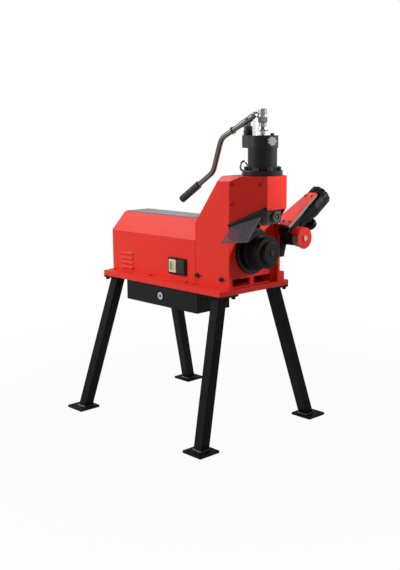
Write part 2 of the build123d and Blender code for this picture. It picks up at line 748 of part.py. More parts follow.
def drawer_lock():
    """Round key lock with its barrel behind the front and a cam on the end."""
    face_y = DRAWER_FRONT_Y - LOCK_FACE_T
    barrel_end = DRAWER_FRONT_Y + LOCK_BARREL_L
    lock = rod_y(face_y, DRAWER_FRONT_Y - RUN, LOCK_R, DRAWER_X, LOCK_Z)
    lock += rod_y(DRAWER_FRONT_Y - RUN, barrel_end, LOCK_BARREL_R, DRAWER_X, LOCK_Z)
    lock += block(
        DRAWER_X - LOCK_CAM_W / 2,
        DRAWER_X + LOCK_CAM_L,
        barrel_end,
        barrel_end + LOCK_CAM_T,
        LOCK_Z - LOCK_CAM_W / 2,
        LOCK_Z + LOCK_CAM_W / 2,
    )
    keyway = Pos(DRAWER_X, face_y, LOCK_Z) * Box(LOCK_KEY_W, LOCK_FACE_T, LOCK_R)
    return lock - keyway


def cover_outline(inset):
    """Half-hexagon section of the motor cover, drawn in by the sheet."""
    side = HEAD_HALF_W - inset
    top = COVER_TOP_HALF - inset * math.tan(math.radians(22.5))
    shoulder = TABLE_Z + COVER_SHOULDER - inset * math.tan(math.radians(22.5))
    roof = COVER_TOP_Z - inset
    half = [(side, TABLE_Z), (side, shoulder), (top, roof)]
    return half + [(-y, z) for y, z in reversed(half)]


def motor_cover():
    """Folded hood over the motor and gears, closed at its rear end."""
    hood = prism_x(cover_outline(0), COVER_REAR_X, COVER_FRONT_X)
    room = prism_x(cover_outline(COVER_SHEET), COVER_REAR_X + COVER_SHEET, COVER_FRONT_X + PLAY)
    hood -= room
    for side in (-1, 1):
        edge = sorted((side * HEAD_HALF_W, side * (HEAD_HALF_W + COVER_FLANGE)))
        hood += block(COVER_REAR_X, COVER_FRONT_X, edge[0], edge[1], TABLE_Z, TABLE_Z + COVER_SHEET)
    for place in FLANGE_SCREWS:
        hood -= screw_hole(place, SCREW_SHANK_R, COVER_SHEET + PLAY)
    hood_out = [
        (-HEAD_HALF_W, LOUVRE_H),
        (-HEAD_HALF_W - LOUVRE_OUT, COVER_SHEET),
        (-HEAD_HALF_W - LOUVRE_OUT, 0),
        (-HEAD_HALF_W, LOUVRE_H - COVER_SHEET),
    ]
    for step in range(LOUVRE_COUNT):
        z = TABLE_Z + LOUVRE_LOW + step * LOUVRE_PITCH
        x0 = LOUVRE_X - LOUVRE_L / 2
        x1 = LOUVRE_X + LOUVRE_L / 2
        slot = block(
            x0 + COVER_SHEET,
            x1 - COVER_SHEET,
            -HEAD_HALF_W - PLAY,
            -HEAD_HALF_W + COVER_SHEET + PLAY,
            z,
            z + LOUVRE_H - COVER_SHEET,
        )
        lip = prism_x([(y, z + up) for y, up in hood_out], x0, x1)
        cheek = [(-HEAD_HALF_W, z), (-HEAD_HALF_W, z + LOUVRE_H), (-HEAD_HALF_W - LOUVRE_OUT, z)]
        lip += prism_x(cheek, x0, x0 + COVER_SHEET)
        lip += prism_x(cheek, x1 - COVER_SHEET, x1)
        hood = hood - slot - mirrored(slot) + lip + mirrored(lip)
    half_w = SWITCH_W / 2 - SWITCH_RIM + SLIDE
    half_h = SWITCH_TALL / 2 - SWITCH_RIM + SLIDE
    hood -= block(
        SWITCH_X - half_w,
        SWITCH_X + half_w,
        -HEAD_HALF_W - PLAY,
        -HEAD_HALF_W + COVER_SHEET + PLAY,
        SWITCH_Z - half_h,
        SWITCH_Z + half_h,
    )
    hood -= rod_x(
        COVER_REAR_X - PLAY,
        COVER_REAR_X + COVER_SHEET + PLAY,
        GLAND_R / 2 + SLIDE,
        GLAND_Y,
        TABLE_Z + GLAND_H,
    )
    return hood


def cover_mat():
    """Ribbed mat on the flat top of the cover."""
    half = COVER_TOP_HALF - MAT_MARGIN
    x0 = COVER_REAR_X + MAT_MARGIN
    x1 = COVER_FRONT_X - MAT_MARGIN
    mat_top = COVER_TOP_Z + MAT_T
    mat = block(x0, x1, -half, half, COVER_TOP_Z, mat_top)
    ribs = int((2 * half) // MAT_RIB_PITCH)
    for step in range(ribs):
        y = -half + (step + 0.5) * 2 * half / ribs
        mat -= block(x0, x1, y - MAT_RIB, y + MAT_RIB, mat_top - MAT_RIB, mat_top + PLAY)
    return mat


def cable_gland():
    """Threaded inlet for the mains lead, with its dome nut and lock nut."""
    y = GLAND_Y
    z = TABLE_Z + GLAND_H
    inside = COVER_REAR_X + COVER_SHEET
    outside = COVER_REAR_X - GLAND_OUT
    gland = rod_x(COVER_REAR_X - GLAND_OUT / 2, inside + GLAND_OUT / 2, GLAND_R / 2, y, z)
    gland += turned_x(
        [
            (COVER_REAR_X, 0),
            (COVER_REAR_X, GLAND_R),
            (COVER_REAR_X - GLAND_OUT / 2, GLAND_R),
            (outside, GLAND_R * 0.7),
            (outside, 0),
        ],
        y,
        z,
    )
    nut = Plane((inside, y, z), z_dir=(1, 0, 0)) * extrude(RegularPolygon(GLAND_R, 6), GLAND_OUT / 4)
    return gland + nut - rod_x(outside - PLAY, inside + GLAND_OUT, GLAND_BORE_R, y, z)


def switch_bezel():
    """Switch body set in the cover, with a raised rim and two button wells."""
    face_y = -HEAD_HALF_W - SWITCH_FACE
    rim = Pos(SWITCH_X, face_y + SWITCH_FACE / 2, SWITCH_Z) * Box(SWITCH_W, SWITCH_FACE, SWITCH_TALL)
    rim = fillet(rim.edges().filter_by(Axis.Y), SWITCH_RIM)
    half_w = SWITCH_W / 2 - SWITCH_RIM
    half_h = SWITCH_TALL / 2 - SWITCH_RIM
    body = rim + block(
        SWITCH_X - half_w,
        SWITCH_X + half_w,
        -HEAD_HALF_W,
        -HEAD_HALF_W + SWITCH_DEPTH,
        SWITCH_Z - half_h,
        SWITCH_Z + half_h,
    )
    for side in (-1, 1):
        x = SWITCH_X + side * (BUTTON_W + BUTTON_GAP) / 2
        well_w = BUTTON_W / 2 + SLIDE
        well_h = BUTTON_TALL / 2 + SLIDE
        well_end = face_y - BUTTON_PROUD + BUTTON_L + BUTTON_TRAVEL + SLIDE
        body -= block(x - well_w, x + well_w, face_y - PLAY, well_end, SWITCH_Z - well_h, SWITCH_Z + well_h)
    return body


def push_button(side):
    """One push button of the switch: side -1 is start, 1 is stop."""
    x = SWITCH_X + side * (BUTTON_W + BUTTON_GAP) / 2
    front = -HEAD_HALF_W - SWITCH_FACE - BUTTON_PROUD
    button = Pos(x, front + BUTTON_L / 2, SWITCH_Z) * Box(BUTTON_W, BUTTON_L, BUTTON_TALL)
    return chamfer(button.faces().sort_by(Axis.Y)[0].edges(), BUTTON_PROUD / 3)


def side_plate(side):
    """Thick head plate with a sloping back; the far one stands further forward and has a lug."""
    outline = [
        (HEAD_REAR_X, TABLE_Z),
        (HEAD_FRONT_X, TABLE_Z),
        (HEAD_FRONT_X, HEAD_TOP_Z),
        (SLOPE_TOP_X, HEAD_TOP_Z),
        (HEAD_REAR_X, TABLE_Z + SLOPE_FOOT_H),
    ]
    edge = sorted((side * INNER_HALF_W, side * HEAD_HALF_W))
    plate = prism_y(outline, edge[0], edge[1])
    if side > 0:
        plate += block(HEAD_FRONT_X, FAR_PLATE_X, edge[0], edge[1], TABLE_Z, TABLE_Z + FRONT_PLATE_H)
        plate += block(
            FAR_PLATE_X - FAR_LUG_L,
            FAR_PLATE_X,
            HEAD_HALF_W,
            FAR_LUG_Y,
            TABLE_Z,
            TABLE_Z + FAR_LUG_H,
        )
    for place in PLATE_BOLTS:
        plate -= screw_hole(place, PLATE_BOLT_R, PLATE_T + PLAY)
    for place in DOWELS:
        plate -= screw_hole(place, DOWEL_R, PLATE_T + PLAY)
    return plate


def bulkhead(x0, height):
    """Cross plate between the side plates on two feet, bored for a main bearing."""
    x1 = x0 + BULKHEAD_T
    plate = block(x0, x1, -INNER_HALF_W, INNER_HALF_W, TABLE_Z, TABLE_Z + height)
    plate -= rod_x(x0 - PLAY, x1 + PLAY, BEARING_R + RUN, 0, SHAFT_Z)
    half = SLOT_FAR - PLATE_BOLT_HEAD_R
    plate -= block(x0 - PLAY, x1 + PLAY, -half, half, TABLE_Z - PLAY, TABLE_Z + SLOT_SILL + SLOT_H)
    for place in PLATE_BOLTS:
        plate -= screw_hole(place, PLATE_BOLT_R, PLATE_T + PLATE_BOLT_DEPTH + PLAY)
    return plate


def front_plate():
    """Cross plate behind the lower roll, slotted at the table and notched below the ram."""
    x0 = FRONT_PLATE_X - FRONT_PLATE_T
    plate = block(x0, FRONT_PLATE_X, -INNER_HALF_W, INNER_HALF_W, TABLE_Z, TABLE_Z + FRONT_PLATE_H)
    notch_z = TABLE_Z + FRONT_NOTCH_H
    half = FRONT_NOTCH_HALF
    plate -= block(x0 - PLAY, FRONT_PLATE_X + PLAY, -half, half, notch_z, HEAD_TOP_Z)
    plate -= rod_x(x0 - PLAY, FRONT_PLATE_X + PLAY, SHAFT_R + PLAY, 0, SHAFT_Z)
    sill = TABLE_Z + SLOT_SILL
    slot = block(x0 - PLAY, FRONT_PLATE_X + PLAY, SLOT_NEAR, SLOT_FAR, sill, sill + SLOT_H)
    return plate - slot - mirrored(slot)


def cap_screws():
    """Black cap screws and dowels of the head plates, and the cap screws of the cylinder's flange."""
    depth = PLATE_T + PLATE_BOLT_DEPTH
    screws = [screw(p, PLATE_BOLT_HEAD_R, PLATE_BOLT_HEAD_H, PLATE_BOLT_R, depth) for p in PLATE_BOLTS]
    screws += [p * Pos(0, 0, PLAY - PLATE_T) * Cylinder(DOWEL_R, PLATE_T, align=BASE) for p in DOWELS]
    depth = CYL_FLANGE_T / 2 - PLAY
    for place in FLANGE_BOLTS:
        screws.append(screw(place, FLANGE_BOLT_HEAD_R, FLANGE_BOLT_HEAD_H, FLANGE_BOLT_R, depth))
    return screws


def crown_outline():
    """Plan of the head's top, from the slope to the nose."""
    return [
        (SLOPE_TOP_X, -HEAD_HALF_W),
        (HEAD_FRONT_X, -HEAD_HALF_W),
        (NOSE_FRONT_X, -NOSE_HALF_W),
        (NOSE_FRONT_X, NOSE_HALF_W),
        (HEAD_FRONT_X, HEAD_HALF_W),
        (SLOPE_TOP_X, HEAD_HALF_W),
    ]


def head_top_plate():
    """Top plate with chamfered long edges, bored for the piston rod and the lifting eye."""
    plate = prism_z(crown_outline(), HEAD_TOP_Z, CROWN_Z)
    flat = HEAD_HALF_W - HEAD_TOP_CHAMFER
    section = [(-HEAD_HALF_W, HEAD_TOP_Z), (HEAD_HALF_W, HEAD_TOP_Z), (flat, CROWN_Z), (-flat, CROWN_Z)]
    plate &= prism_x(section, SLOPE_TOP_X, NOSE_FRONT_X)
    plate -= rod_z(HEAD_TOP_Z - PLAY, CROWN_Z + PLAY, ROD_R + PLAY, CYL_X)
    return plate - rod_z(HEAD_TOP_Z - PLAY, CROWN_Z + PLAY, EYE_SHANK_R + SLIDE, EYE_X, EYE_Y)


def head_back_cover():
    """Sheet on the slope behind the head."""
    run = SLOPE_TOP_X - HEAD_REAR_X
    rise = HEAD_H - SLOPE_FOOT_H
    drop = BACK_COVER_T * math.hypot(run, rise) / run
    outline = [
        (HEAD_REAR_X, TABLE_Z + SLOPE_FOOT_H - drop),
        (SLOPE_TOP_X, HEAD_TOP_Z - drop),
        (SLOPE_TOP_X, HEAD_TOP_Z),
        (HEAD_REAR_X, TABLE_Z + SLOPE_FOOT_H),
    ]
    return prism_y(outline, -INNER_HALF_W, INNER_HALF_W)


def corner_panel():
    """Slanted cover between the operator's side plate and the nose."""
    over_x = PANEL_T * CORNER_L / CORNER_RUN_Y
    over_y = PANEL_T * CORNER_L / CORNER_RUN_X
    plan = [
        (HEAD_FRONT_X, -HEAD_HALF_W),
        (NOSE_FRONT_X, -NOSE_HALF_W),
        (NOSE_FRONT_X - over_x, -NOSE_HALF_W),
        (HEAD_FRONT_X, -HEAD_HALF_W + over_y),
    ]
    panel = prism_z(plan, PANEL_LOW_Z, HEAD_TOP_Z)
    wedge = Polygon((-PLAY, 0), (CORNER_L, PANEL_RISE), (CORNER_L, -PLAY), align=None)
    panel -= extrude(PANEL_PLANE * wedge, CORNER_L, both=True)
    for along, up in PANEL_SCREWS:
        panel -= screw_hole(PANEL_PLANE * Pos(along, up, 0), SCREW_SHANK_R, 2 * PANEL_T)
    return panel


def ram_guide():
    """Nose box that guides the ram, with ears back to the side plates."""
    rear = RAM_X0 - GUIDE_REAR_WALL
    guide = block(rear, NOSE_FRONT_X, -NOSE_HALF_W, NOSE_HALF_W, NOSE_BOTTOM_Z, HEAD_TOP_Z)
    guide += block(rear, rear + GUIDE_EAR_L, -INNER_HALF_W, INNER_HALF_W, NOSE_BOTTOM_Z, HEAD_TOP_Z)
    half = RAM_HALF_W + RUN
    return guide - block(RAM_X0 - RUN, RAM_X1 + RUN, -half, half, NOSE_BOTTOM_Z - PLAY, HEAD_TOP_Z + PLAY)


def main_bearings():
    inner = SHAFT_R + RUN
    rings = []
    for x0 in (HEAD_REAR_X, FRONT_BULKHEAD_X):
        ring = rod_x(x0, x0 + BULKHEAD_T, BEARING_R, 0, SHAFT_Z)
        rings.append(ring - rod_x(x0 - PLAY, x0 + BULKHEAD_T + PLAY, inner, 0, SHAFT_Z))
    return rings


def bearing_cover():
    """Black disc on the front plate around the shaft, cut away where the upper axle comes down."""
    x0 = FRONT_PLATE_X
    x1 = x0 + BEARING_COVER_T
    disc = rod_x(x0, x1, BEARING_COVER_R, 0, SHAFT_Z)
    disc = chamfer(disc.faces().sort_by(Axis.X)[-1].edges(), BEARING_COVER_T / 6)
    half = AXLE_R + 2 * PLAY
    low_z = AXLE_Z - RAM_TRAVEL - half
    disc -= block(x0 - PLAY, x1 + PLAY, -half, half, low_z, SHAFT_Z + BEARING_COVER_R + PLAY)
    return disc - rod_x(x0 - PLAY, x1 + PLAY, SHAFT_R + PLAY, 0, SHAFT_Z)


def drive_shaft():
    """Main shaft with its gear, roll journal and the screw that holds the roll."""
    gear_end = SLOW_X0 + SLOW_FACE
    shaft = rod_x(SLOW_X0, ROLL_FLANGE_X - PLAY, SHAFT_R, 0, SHAFT_Z)
    shaft += rod_x(ROLL_FLANGE_X - PLAY, ROLL_SEAT_X, ROLL_JOURNAL_R, 0, SHAFT_Z)
    shaft += rod_x(ROLL_SEAT_X, ROLL_END_X, ROLL_SHANK_R, 0, SHAFT_Z)
    shaft += rod_x(ROLL_END_X, ROLL_END_X + ROLL_SCREW_H, ROLL_SCREW_R, 0, SHAFT_Z)
    socket = Plane((ROLL_END_X + ROLL_SCREW_H / 2, 0, SHAFT_Z), z_dir=(1, 0, 0))
    shaft -= socket * extrude(RegularPolygon(ROLL_SCREW_R * 0.5, 6), ROLL_SCREW_H)
    pitch = 360.0 / SLOW_GEAR_TEETH
    return shaft + gear(SLOW_GEAR_TEETH, SLOW_MODULE, SLOW_X0, gear_end, SHAFT_Z, -90 + pitch / 2)


def drive_roll():
    """Stepped lower roll: pipe-stop flange, grooved tread and rounded nose."""
    tread_end = ROLL_X + ROLL_L
    groove_0 = ROLL_X + GROOVE_A
    groove_1 = groove_0 + GROOVE_W
    outline = [
        (ROLL_FLANGE_X, 0),
        (ROLL_FLANGE_X, ROLL_FLANGE_R - 2 * PLAY),
        (ROLL_FLANGE_X + 2 * PLAY, ROLL_FLANGE_R),
        (ROLL_X - 2 * PLAY, ROLL_FLANGE_R),
        (ROLL_X, ROLL_FLANGE_R - 2 * PLAY),
        (ROLL_X, ROLL_R),
        (groove_0, ROLL_R),
        (groove_0 + PLAY, ROLL_R - GROOVE_DEPTH),
        (groove_1 - PLAY, ROLL_R - GROOVE_DEPTH),
        (groove_1, ROLL_R),
        (tread_end - PLAY, ROLL_R),
        (tread_end, ROLL_R - PLAY),
        (tread_end, ROLL_NOSE_R),
        (ROLL_END_X, ROLL_NOSE_R),
        (ROLL_END_X, 0),
    ]
    roll = turned_x(outline, 0, SHAFT_Z)
    roll = fillet(roll.faces().sort_by(Axis.X)[-1].edges(), ROLL_NOSE_ROUND)
    roll -= rod_x(ROLL_FLANGE_X - PLAY, ROLL_SEAT_X, ROLL_JOURNAL_R + RUN, 0, SHAFT_Z)
    return roll - rod_x(ROLL_SEAT_X - PLAY, ROLL_END_X + PLAY, ROLL_SHANK_R + RUN, 0, SHAFT_Z)


def ram_slide():
    """Ram block with a fork for the upper roll."""
    fork_top = AXLE_Z + GROOVE_ROLL_R + FORK_ROOM
    top = HEAD_TOP_Z - RAM_TOP_GAP
    front_low = AXLE_Z - FORK_FRONT_DROP
    rear_low = AXLE_Z - FORK_REAR_DROP
    outline = [
        (RAM_X0, rear_low),
        (RAM_X0 + RAM_CHEEK, rear_low),
        (RAM_X0 + RAM_CHEEK, fork_top),
        (RAM_X1 - RAM_CHEEK, fork_top),
        (RAM_X1 - RAM_CHEEK, front_low),
        (RAM_X1, front_low),
        (RAM_X1, top),
        (RAM_X0, top),
    ]
    ram = prism_y(outline, -RAM_HALF_W, RAM_HALF_W)
    ram -= rod_x(RAM_X0 - PLAY, RAM_X1 + PLAY, AXLE_R + RUN, 0, AXLE_Z)
    return ram - rod_z(top - RAM_CHEEK, top + PLAY, ROD_R + RUN, CYL_X)


def ram_piston():
    """Piston with its rod down into the ram and a collared tail rod up into the depth adjuster."""
    rod_low = HEAD_TOP_Z - RAM_TOP_GAP - RAM_CHEEK
    collar_top = CYL_HEAD_Z + KNOB_NECK_L + KNOB_L - KNOB_ROOF - PLAY
    piston = rod_z(rod_low, PISTON_Z, ROD_R, CYL_X)
    piston += rod_z(PISTON_Z, PISTON_Z + PISTON_T, CYL_BORE_R - RUN, CYL_X)
    piston += rod_z(PISTON_Z + PISTON_T, collar_top, TAIL_R, CYL_X)
    return piston + rod_z(collar_top - TAIL_COLLAR_T, collar_top, TAIL_COLLAR_R, CYL_X)


def upper_axle():
    """Axle across the fork, with a ring nut on its front end round a low boss."""
    axle = rod_x(RAM_X0, RAM_X1, AXLE_R, 0, AXLE_Z)
    nut = rod_x(RAM_X1, NOSE_FRONT_X, AXLE_NUT_R, 0, AXLE_Z)
    nut = chamfer(nut.faces().sort_by(Axis.X)[-1].edges(), 2 * PLAY)
    floor_x = NOSE_FRONT_X - AXLE_GROOVE_L
    groove = rod_x(floor_x, NOSE_FRONT_X + PLAY, AXLE_GROOVE_R, 0, AXLE_Z)
    return axle + nut - groove + rod_x(floor_x, NOSE_FRONT_X - PLAY, AXLE_BOSS_R, 0, AXLE_Z)


def groove_roll():
    """Upper roll with the ridge that presses the groove."""
    x0 = GROOVE_X - GROOVE_ROLL_L / 2
    x1 = GROOVE_X + GROOVE_ROLL_L / 2
    low = GROOVE_ROLL_R - GROOVE_ROLL_SHOULDER
    half = GROOVE_RIDGE_W / 2
    outline = [
        (x0, 0),
        (x0, low - PLAY),
        (x0 + PLAY, low),
        (GROOVE_X - half - PLAY, low),
        (GROOVE_X - half, GROOVE_ROLL_R),
        (GROOVE_X + half, GROOVE_ROLL_R),
        (GROOVE_X + half + PLAY, low),
        (x1 - PLAY, low),
        (x1, low - PLAY),
        (x1, 0),
    ]
    return turned_x(outline, 0, AXLE_Z) - rod_x(x0 - PLAY, x1 + PLAY, AXLE_R + RUN, 0, AXLE_Z)


def cylinder_barrel():
    """Flanged hydraulic cylinder."""
    barrel = rod_z(CROWN_Z, CYL_FLANGE_Z, CYL_FLANGE_R, CYL_X)
    barrel = chamfer(barrel.faces().sort_by(Axis.Z)[-1].edges(), 2 * PLAY)
    barrel += rod_z(CYL_FLANGE_Z, CYL_TOP_Z, CYL_R, CYL_X)
    barrel -= rod_z(CYL_FLOOR_Z, CYL_TOP_Z + PLAY, CYL_BORE_R, CYL_X)
    barrel -= rod_z(CROWN_Z - PLAY, CYL_FLOOR_Z + PLAY, ROD_R + RUN, CYL_X)
    for place in FLANGE_BOLTS:
        barrel -= screw_hole(place, FLANGE_BOLT_R, CYL_FLANGE_T / 2)
    return barrel


def release_place(out):
    angle = math.radians(RELEASE_ANGLE)
    along = Vector(math.cos(angle), math.sin(angle), 0)
    return pointing(Vector(CYL_X, 0, CYL_TOP_Z + RELEASE_H) + along * (CYL_HEAD_R + out), along)


def link_blade():
    """Upright blade of the fulcrum link, let into the cylinder head."""
    half = LINK_W / 2
    blade = block(PIVOT_X - half, PIVOT_X + half, -LINK_T / 2, LINK_T / 2, CYL_HEAD_Z - LINK_W, PIVOT_Z)
    return blade + rod_y(-LINK_T / 2, LINK_T / 2, half, PIVOT_X, PIVOT_Z)


def cylinder_head():
    """Closed head of the cylinder with the pump barrel, the link's seat and the adjuster's neck."""
    hull = Pos(CYL_X, 0) * Circle(CYL_HEAD_R) + Pos(PUMP_X, 0) * Circle(PUMP_BOSS_R)
    gap = CYL_X - PUMP_X
    lean = math.asin((CYL_HEAD_R - PUMP_BOSS_R) / gap)
    near = [(CYL_X - CYL_HEAD_R * math.sin(lean), CYL_HEAD_R * math.cos(lean))]
    near.append((PUMP_X - PUMP_BOSS_R * math.sin(lean), PUMP_BOSS_R * math.cos(lean)))
    web = near + [(x, -y) for x, y in reversed(near)]
    head = extrude(Pos(0, 0, CYL_TOP_Z) * (hull + Polygon(*web, align=None)), CYL_HEAD_T)
    head += rod_z(CYL_HEAD_Z, CYL_HEAD_Z + KNOB_NECK_L + KNOB_SEAT_L, KNOB_NECK_R - RUN, CYL_X)
    head += rod_z(CYL_HEAD_Z, PUMP_TOP_Z, PUMP_R, PUMP_X)
    head -= rod_z(PUMP_TOP_Z - PUMP_BORE_L, PUMP_TOP_Z + PLAY, PLUNGER_R + RUN, PUMP_X)
    head -= rod_z(CYL_TOP_Z - PLAY, CYL_HEAD_Z + KNOB_L, TAIL_R + RUN, CYL_X)
    head -= link_blade()
    valve = Cylinder(RELEASE_STEM_R + RUN, RELEASE_STEM_IN + PLAY, align=BASE)
    head -= release_place(-RELEASE_STEM_IN) * valve
    head -= rod_z(CYL_HEAD_Z - FILLER_H, CYL_HEAD_Z + PLAY, FILLER_R / 2 + RUN, FILLER_X, FILLER_Y)
    return head


def pump_plunger():
    """Plunger with a skirted cap, a tongue in the lever's fork and the cross pin."""
    low = PUMP_TOP_Z - PUMP_BORE_L + 2 * PLAY
    half = LINK_T / 2
    plunger = rod_z(low, CAP_TOP_Z, PLUNGER_R, PUMP_X)
    plunger += rod_z(PUMP_TOP_Z + SLIDE, CAP_TOP_Z, PLUNGER_CAP_R, PUMP_X)
    plunger += block(PUMP_X - PLUNGER_R, PUMP_X + PLUNGER_R, -half, half, PUMP_TOP_Z + SLIDE, CROSS_PIN_Z)
    plunger += rod_y(-half, half, PLUNGER_R, PUMP_X, CROSS_PIN_Z)
    return plunger + rod_y(-SOCKET_R, SOCKET_R, CROSS_PIN_R, PUMP_X, CROSS_PIN_Z)


def pump_link():
    """Bright link blade set in the cylinder head, with the fulcrum pin across it."""
    reach = SOCKET_R + 2 * PLAY
    return link_blade() + rod_y(-reach, reach, PIVOT_PIN_R, PIVOT_X, PIVOT_Z)


def lever_socket():
    """Forked lever boss on the fulcrum pin, slotted for the cross pin."""
    lay = LEVER_PLANE * Rot(0, 90, 0)
    socket = lay * Pos(0, 0, -SOCKET_TAIL) * Cylinder(SOCKET_R, SOCKET_TAIL + SOCKET_L, align=BASE)
    gap = LINK_T / 2 + LINK_GAP
    socket -= LEVER_PLANE * block(-SOCKET_TAIL - PLAY, FORK_L, -2 * SOCKET_R, 2 * SOCKET_R, -gap, gap)
    socket -= LEVER_PLANE * Cylinder(PIVOT_PIN_R + RUN, 4 * SOCKET_R)
    near = PIVOT_X - PUMP_X
    slot_r = CROSS_PIN_R + CROSS_SLOT_PLAY
    slot = SlotCenterToCenter(PIN_AT - near + CROSS_SLOT_PLAY, 2 * slot_r)
    return socket - LEVER_PLANE * Pos((near + PIN_AT) / 2, 0, 0) * extrude(slot, 2 * SOCKET_R, both=True)


def lever_points():
    """Bends of the lever rod: socket, shoulder, knee and hand end."""
    start = LEVER_PLANE.from_local_coords(Vector(FORK_L + PLAY, 0, 0))
    shoulder = LEVER_PLANE.from_local_coords(Vector(LEVER_REACH, 0, 0))
    knee = shoulder + Vector(LEVER_KNEE[0], 0, LEVER_KNEE[1])
    hand = knee + Vector(LEVER_HAND[0], 0, LEVER_HAND[1])
    return [start, shoulder, knee, hand]


def pump_lever():
    """Bent round rod with a collar, welded into its socket."""
    points = lever_points()
    path = FilletPolyline(*points, radius=LEVER_BEND_R)
    rod = sweep(Plane(origin=points[0], z_dir=points[1] - points[0]) * Circle(LEVER_ROD_R), path=path)
    collar = Cylinder(LEVER_COLLAR_R, LEVER_COLLAR_T)
    return lever_socket() + rod + LEVER_PLANE * Pos(LEVER_COLLAR_AT, 0, 0) * Rot(0, 90, 0) * collar


def lever_grip():
    """Ribbed rubber sleeve on the hand end, closed at the tip."""
    points = lever_points()
    hand = points[3]
    back = (points[2] - hand).normalized()
    tip = 2 * GRIP_RIB_DEPTH
    pitch = (GRIP_L - GRIP_R) / GRIP_RIBS
    outline = [(0, -tip), (GRIP_R - tip, -tip), (GRIP_R, 0)]
    for rib in range(GRIP_RIBS):
        at = GRIP_R / 2 + rib * pitch
        outline.append((GRIP_R, at))
        outline.append((GRIP_R - GRIP_RIB_DEPTH, at + pitch * 0.2))
        outline.append((GRIP_R - GRIP_RIB_DEPTH, at + pitch * 0.5))
        outline.append((GRIP_R, at + pitch * 0.7))
    outline += [(GRIP_R, GRIP_L), (0, GRIP_L)]
    sleeve = turned_z(outline) - rod_z(0, GRIP_L + PLAY, LEVER_ROD_R + GRIP_WALL_CLEAR)
    return Plane(origin=hand, x_dir=(0, 1, 0), z_dir=back) * sleeve


def release_knob():
    """Lobed knob on the stem of the release valve."""
    knob = Circle(RELEASE_R - RELEASE_LOBE_R)
    for lobe in range(RELEASE_LOBES):
        turn = Rot(0, 0, lobe * 360 / RELEASE_LOBES)
        knob += turn * Pos(RELEASE_R - RELEASE_LOBE_R, 0) * Circle(RELEASE_LOBE_R)
    solid = release_place(RELEASE_STEM_OUT) * extrude(knob, RELEASE_T)
    stem_l = RELEASE_STEM_IN + RELEASE_STEM_OUT - PLAY
    return solid + release_place(PLAY - RELEASE_STEM_IN) * Cylinder(RELEASE_STEM_R, stem_l, align=BASE)


def filler_plug():
    plug = rod_z(CYL_HEAD_Z, CYL_HEAD_Z + FILLER_H, FILLER_R, FILLER_X, FILLER_Y)
    plug = chamfer(plug.faces().sort_by(Axis.Z)[-1].edges(), PLAY)
    return plug + rod_z(CYL_HEAD_Z - FILLER_H + PLAY, CYL_HEAD_Z, FILLER_R / 2, FILLER_X, FILLER_Y)


def depth_knob():
    """Bright waisted adjuster, hollow, turning on the neck of the cylinder head."""
    z0 = CYL_HEAD_Z + KNOB_NECK_L
    z1 = z0 + KNOB_L
    ring_0 = z0 + KNOB_RING_LOW
    ring_1 = z0 + KNOB_RING_HIGH
    outline = [
        (0, z0),
        (KNOB_BASE_R - PLAY, z0),
        (KNOB_BASE_R, z0 + PLAY),
        (KNOB_BASE_R, z0 + 3 * PLAY),
        (KNOB_WAIST_R + 2 * PLAY, z0 + KNOB_FLARE_H / 2),
        (KNOB_WAIST_R, z0 + KNOB_FLARE_H),
        (KNOB_WAIST_R, ring_0 - 2 * PLAY),
        (KNOB_RING_R - PLAY, ring_0),
        (KNOB_RING_R, ring_0 + 2 * PLAY),
        (KNOB_RING_R, ring_1 - 2 * PLAY),
        (KNOB_RING_R - PLAY, ring_1),
        (KNOB_TOP_R, ring_1 + 2 * PLAY),
        (KNOB_TOP_R, z1 - 3 * PLAY),
        (KNOB_TIP_R, z1),
        (0, z1),
    ]
    return turned_z(outline, CYL_X) - rod_z(z0 - PLAY, z1 - KNOB_ROOF, KNOB_NECK_R, CYL_X)


def lifting_eye():
    """Eye bolt: ring, collar and shank."""
    ring_z = CROWN_Z + EYE_COLLAR_T + EYE_NECK_L + EYE_RING_R
    ring = Pos(EYE_X, EYE_Y, ring_z) * Rot(0, 90, 0) * Torus(EYE_RING_R, EYE_WIRE_R)
    collar = rod_z(CROWN_Z, CROWN_Z + EYE_COLLAR_T, EYE_COLLAR_R, EYE_X, EYE_Y)
    neck = rod_z(CROWN_Z, ring_z - EYE_RING_R, EYE_WIRE_R * 1.3, EYE_X, EYE_Y)
    return ring + collar + neck + rod_z(HEAD_TOP_Z, CROWN_Z, EYE_SHANK_R, EYE_X, EYE_Y)


def hinge_bar():
    """Bar along the panel's lower edge, with a lug at each end and the hinge pin between them."""
    bar = HINGE_PLANE * Pos(HINGE_SPAN / 2, HINGE_BAR_W / 2, HINGE_BAR_T / 2) * Box(
        HINGE_SPAN, HINGE_BAR_W, HINGE_BAR_T
    )
    lay = HINGE_PLANE * Pos(0, HINGE_LUG_W / 2, HINGE_OUT) * Rot(0, 90, 0)
    pin = lay * Cylinder(HINGE_PIN_R, HINGE_SPAN, align=BASE)
    for at in (HINGE_LUG_L / 2, HINGE_SPAN - HINGE_LUG_L / 2):
        lug_t = HINGE_OUT + HINGE_PIN_R + PLAY
        bar += HINGE_PLANE * Pos(at, HINGE_LUG_W / 2, lug_t / 2) * Box(HINGE_LUG_L, HINGE_LUG_W, lug_t)
    return bar + pin


def guard_outline():
    """Outline of the guard sheet, along and below the hinge line."""
    top = HINGE_LUG_W / 2
    left = HINGE_LUG_L + PLAY
    return [(left, top), (left, -KNUCKLE_R), GUARD_LEFT, GUARD_BOTTOM, GUARD_RIGHT, (GUARD_RIGHT[0], top)]


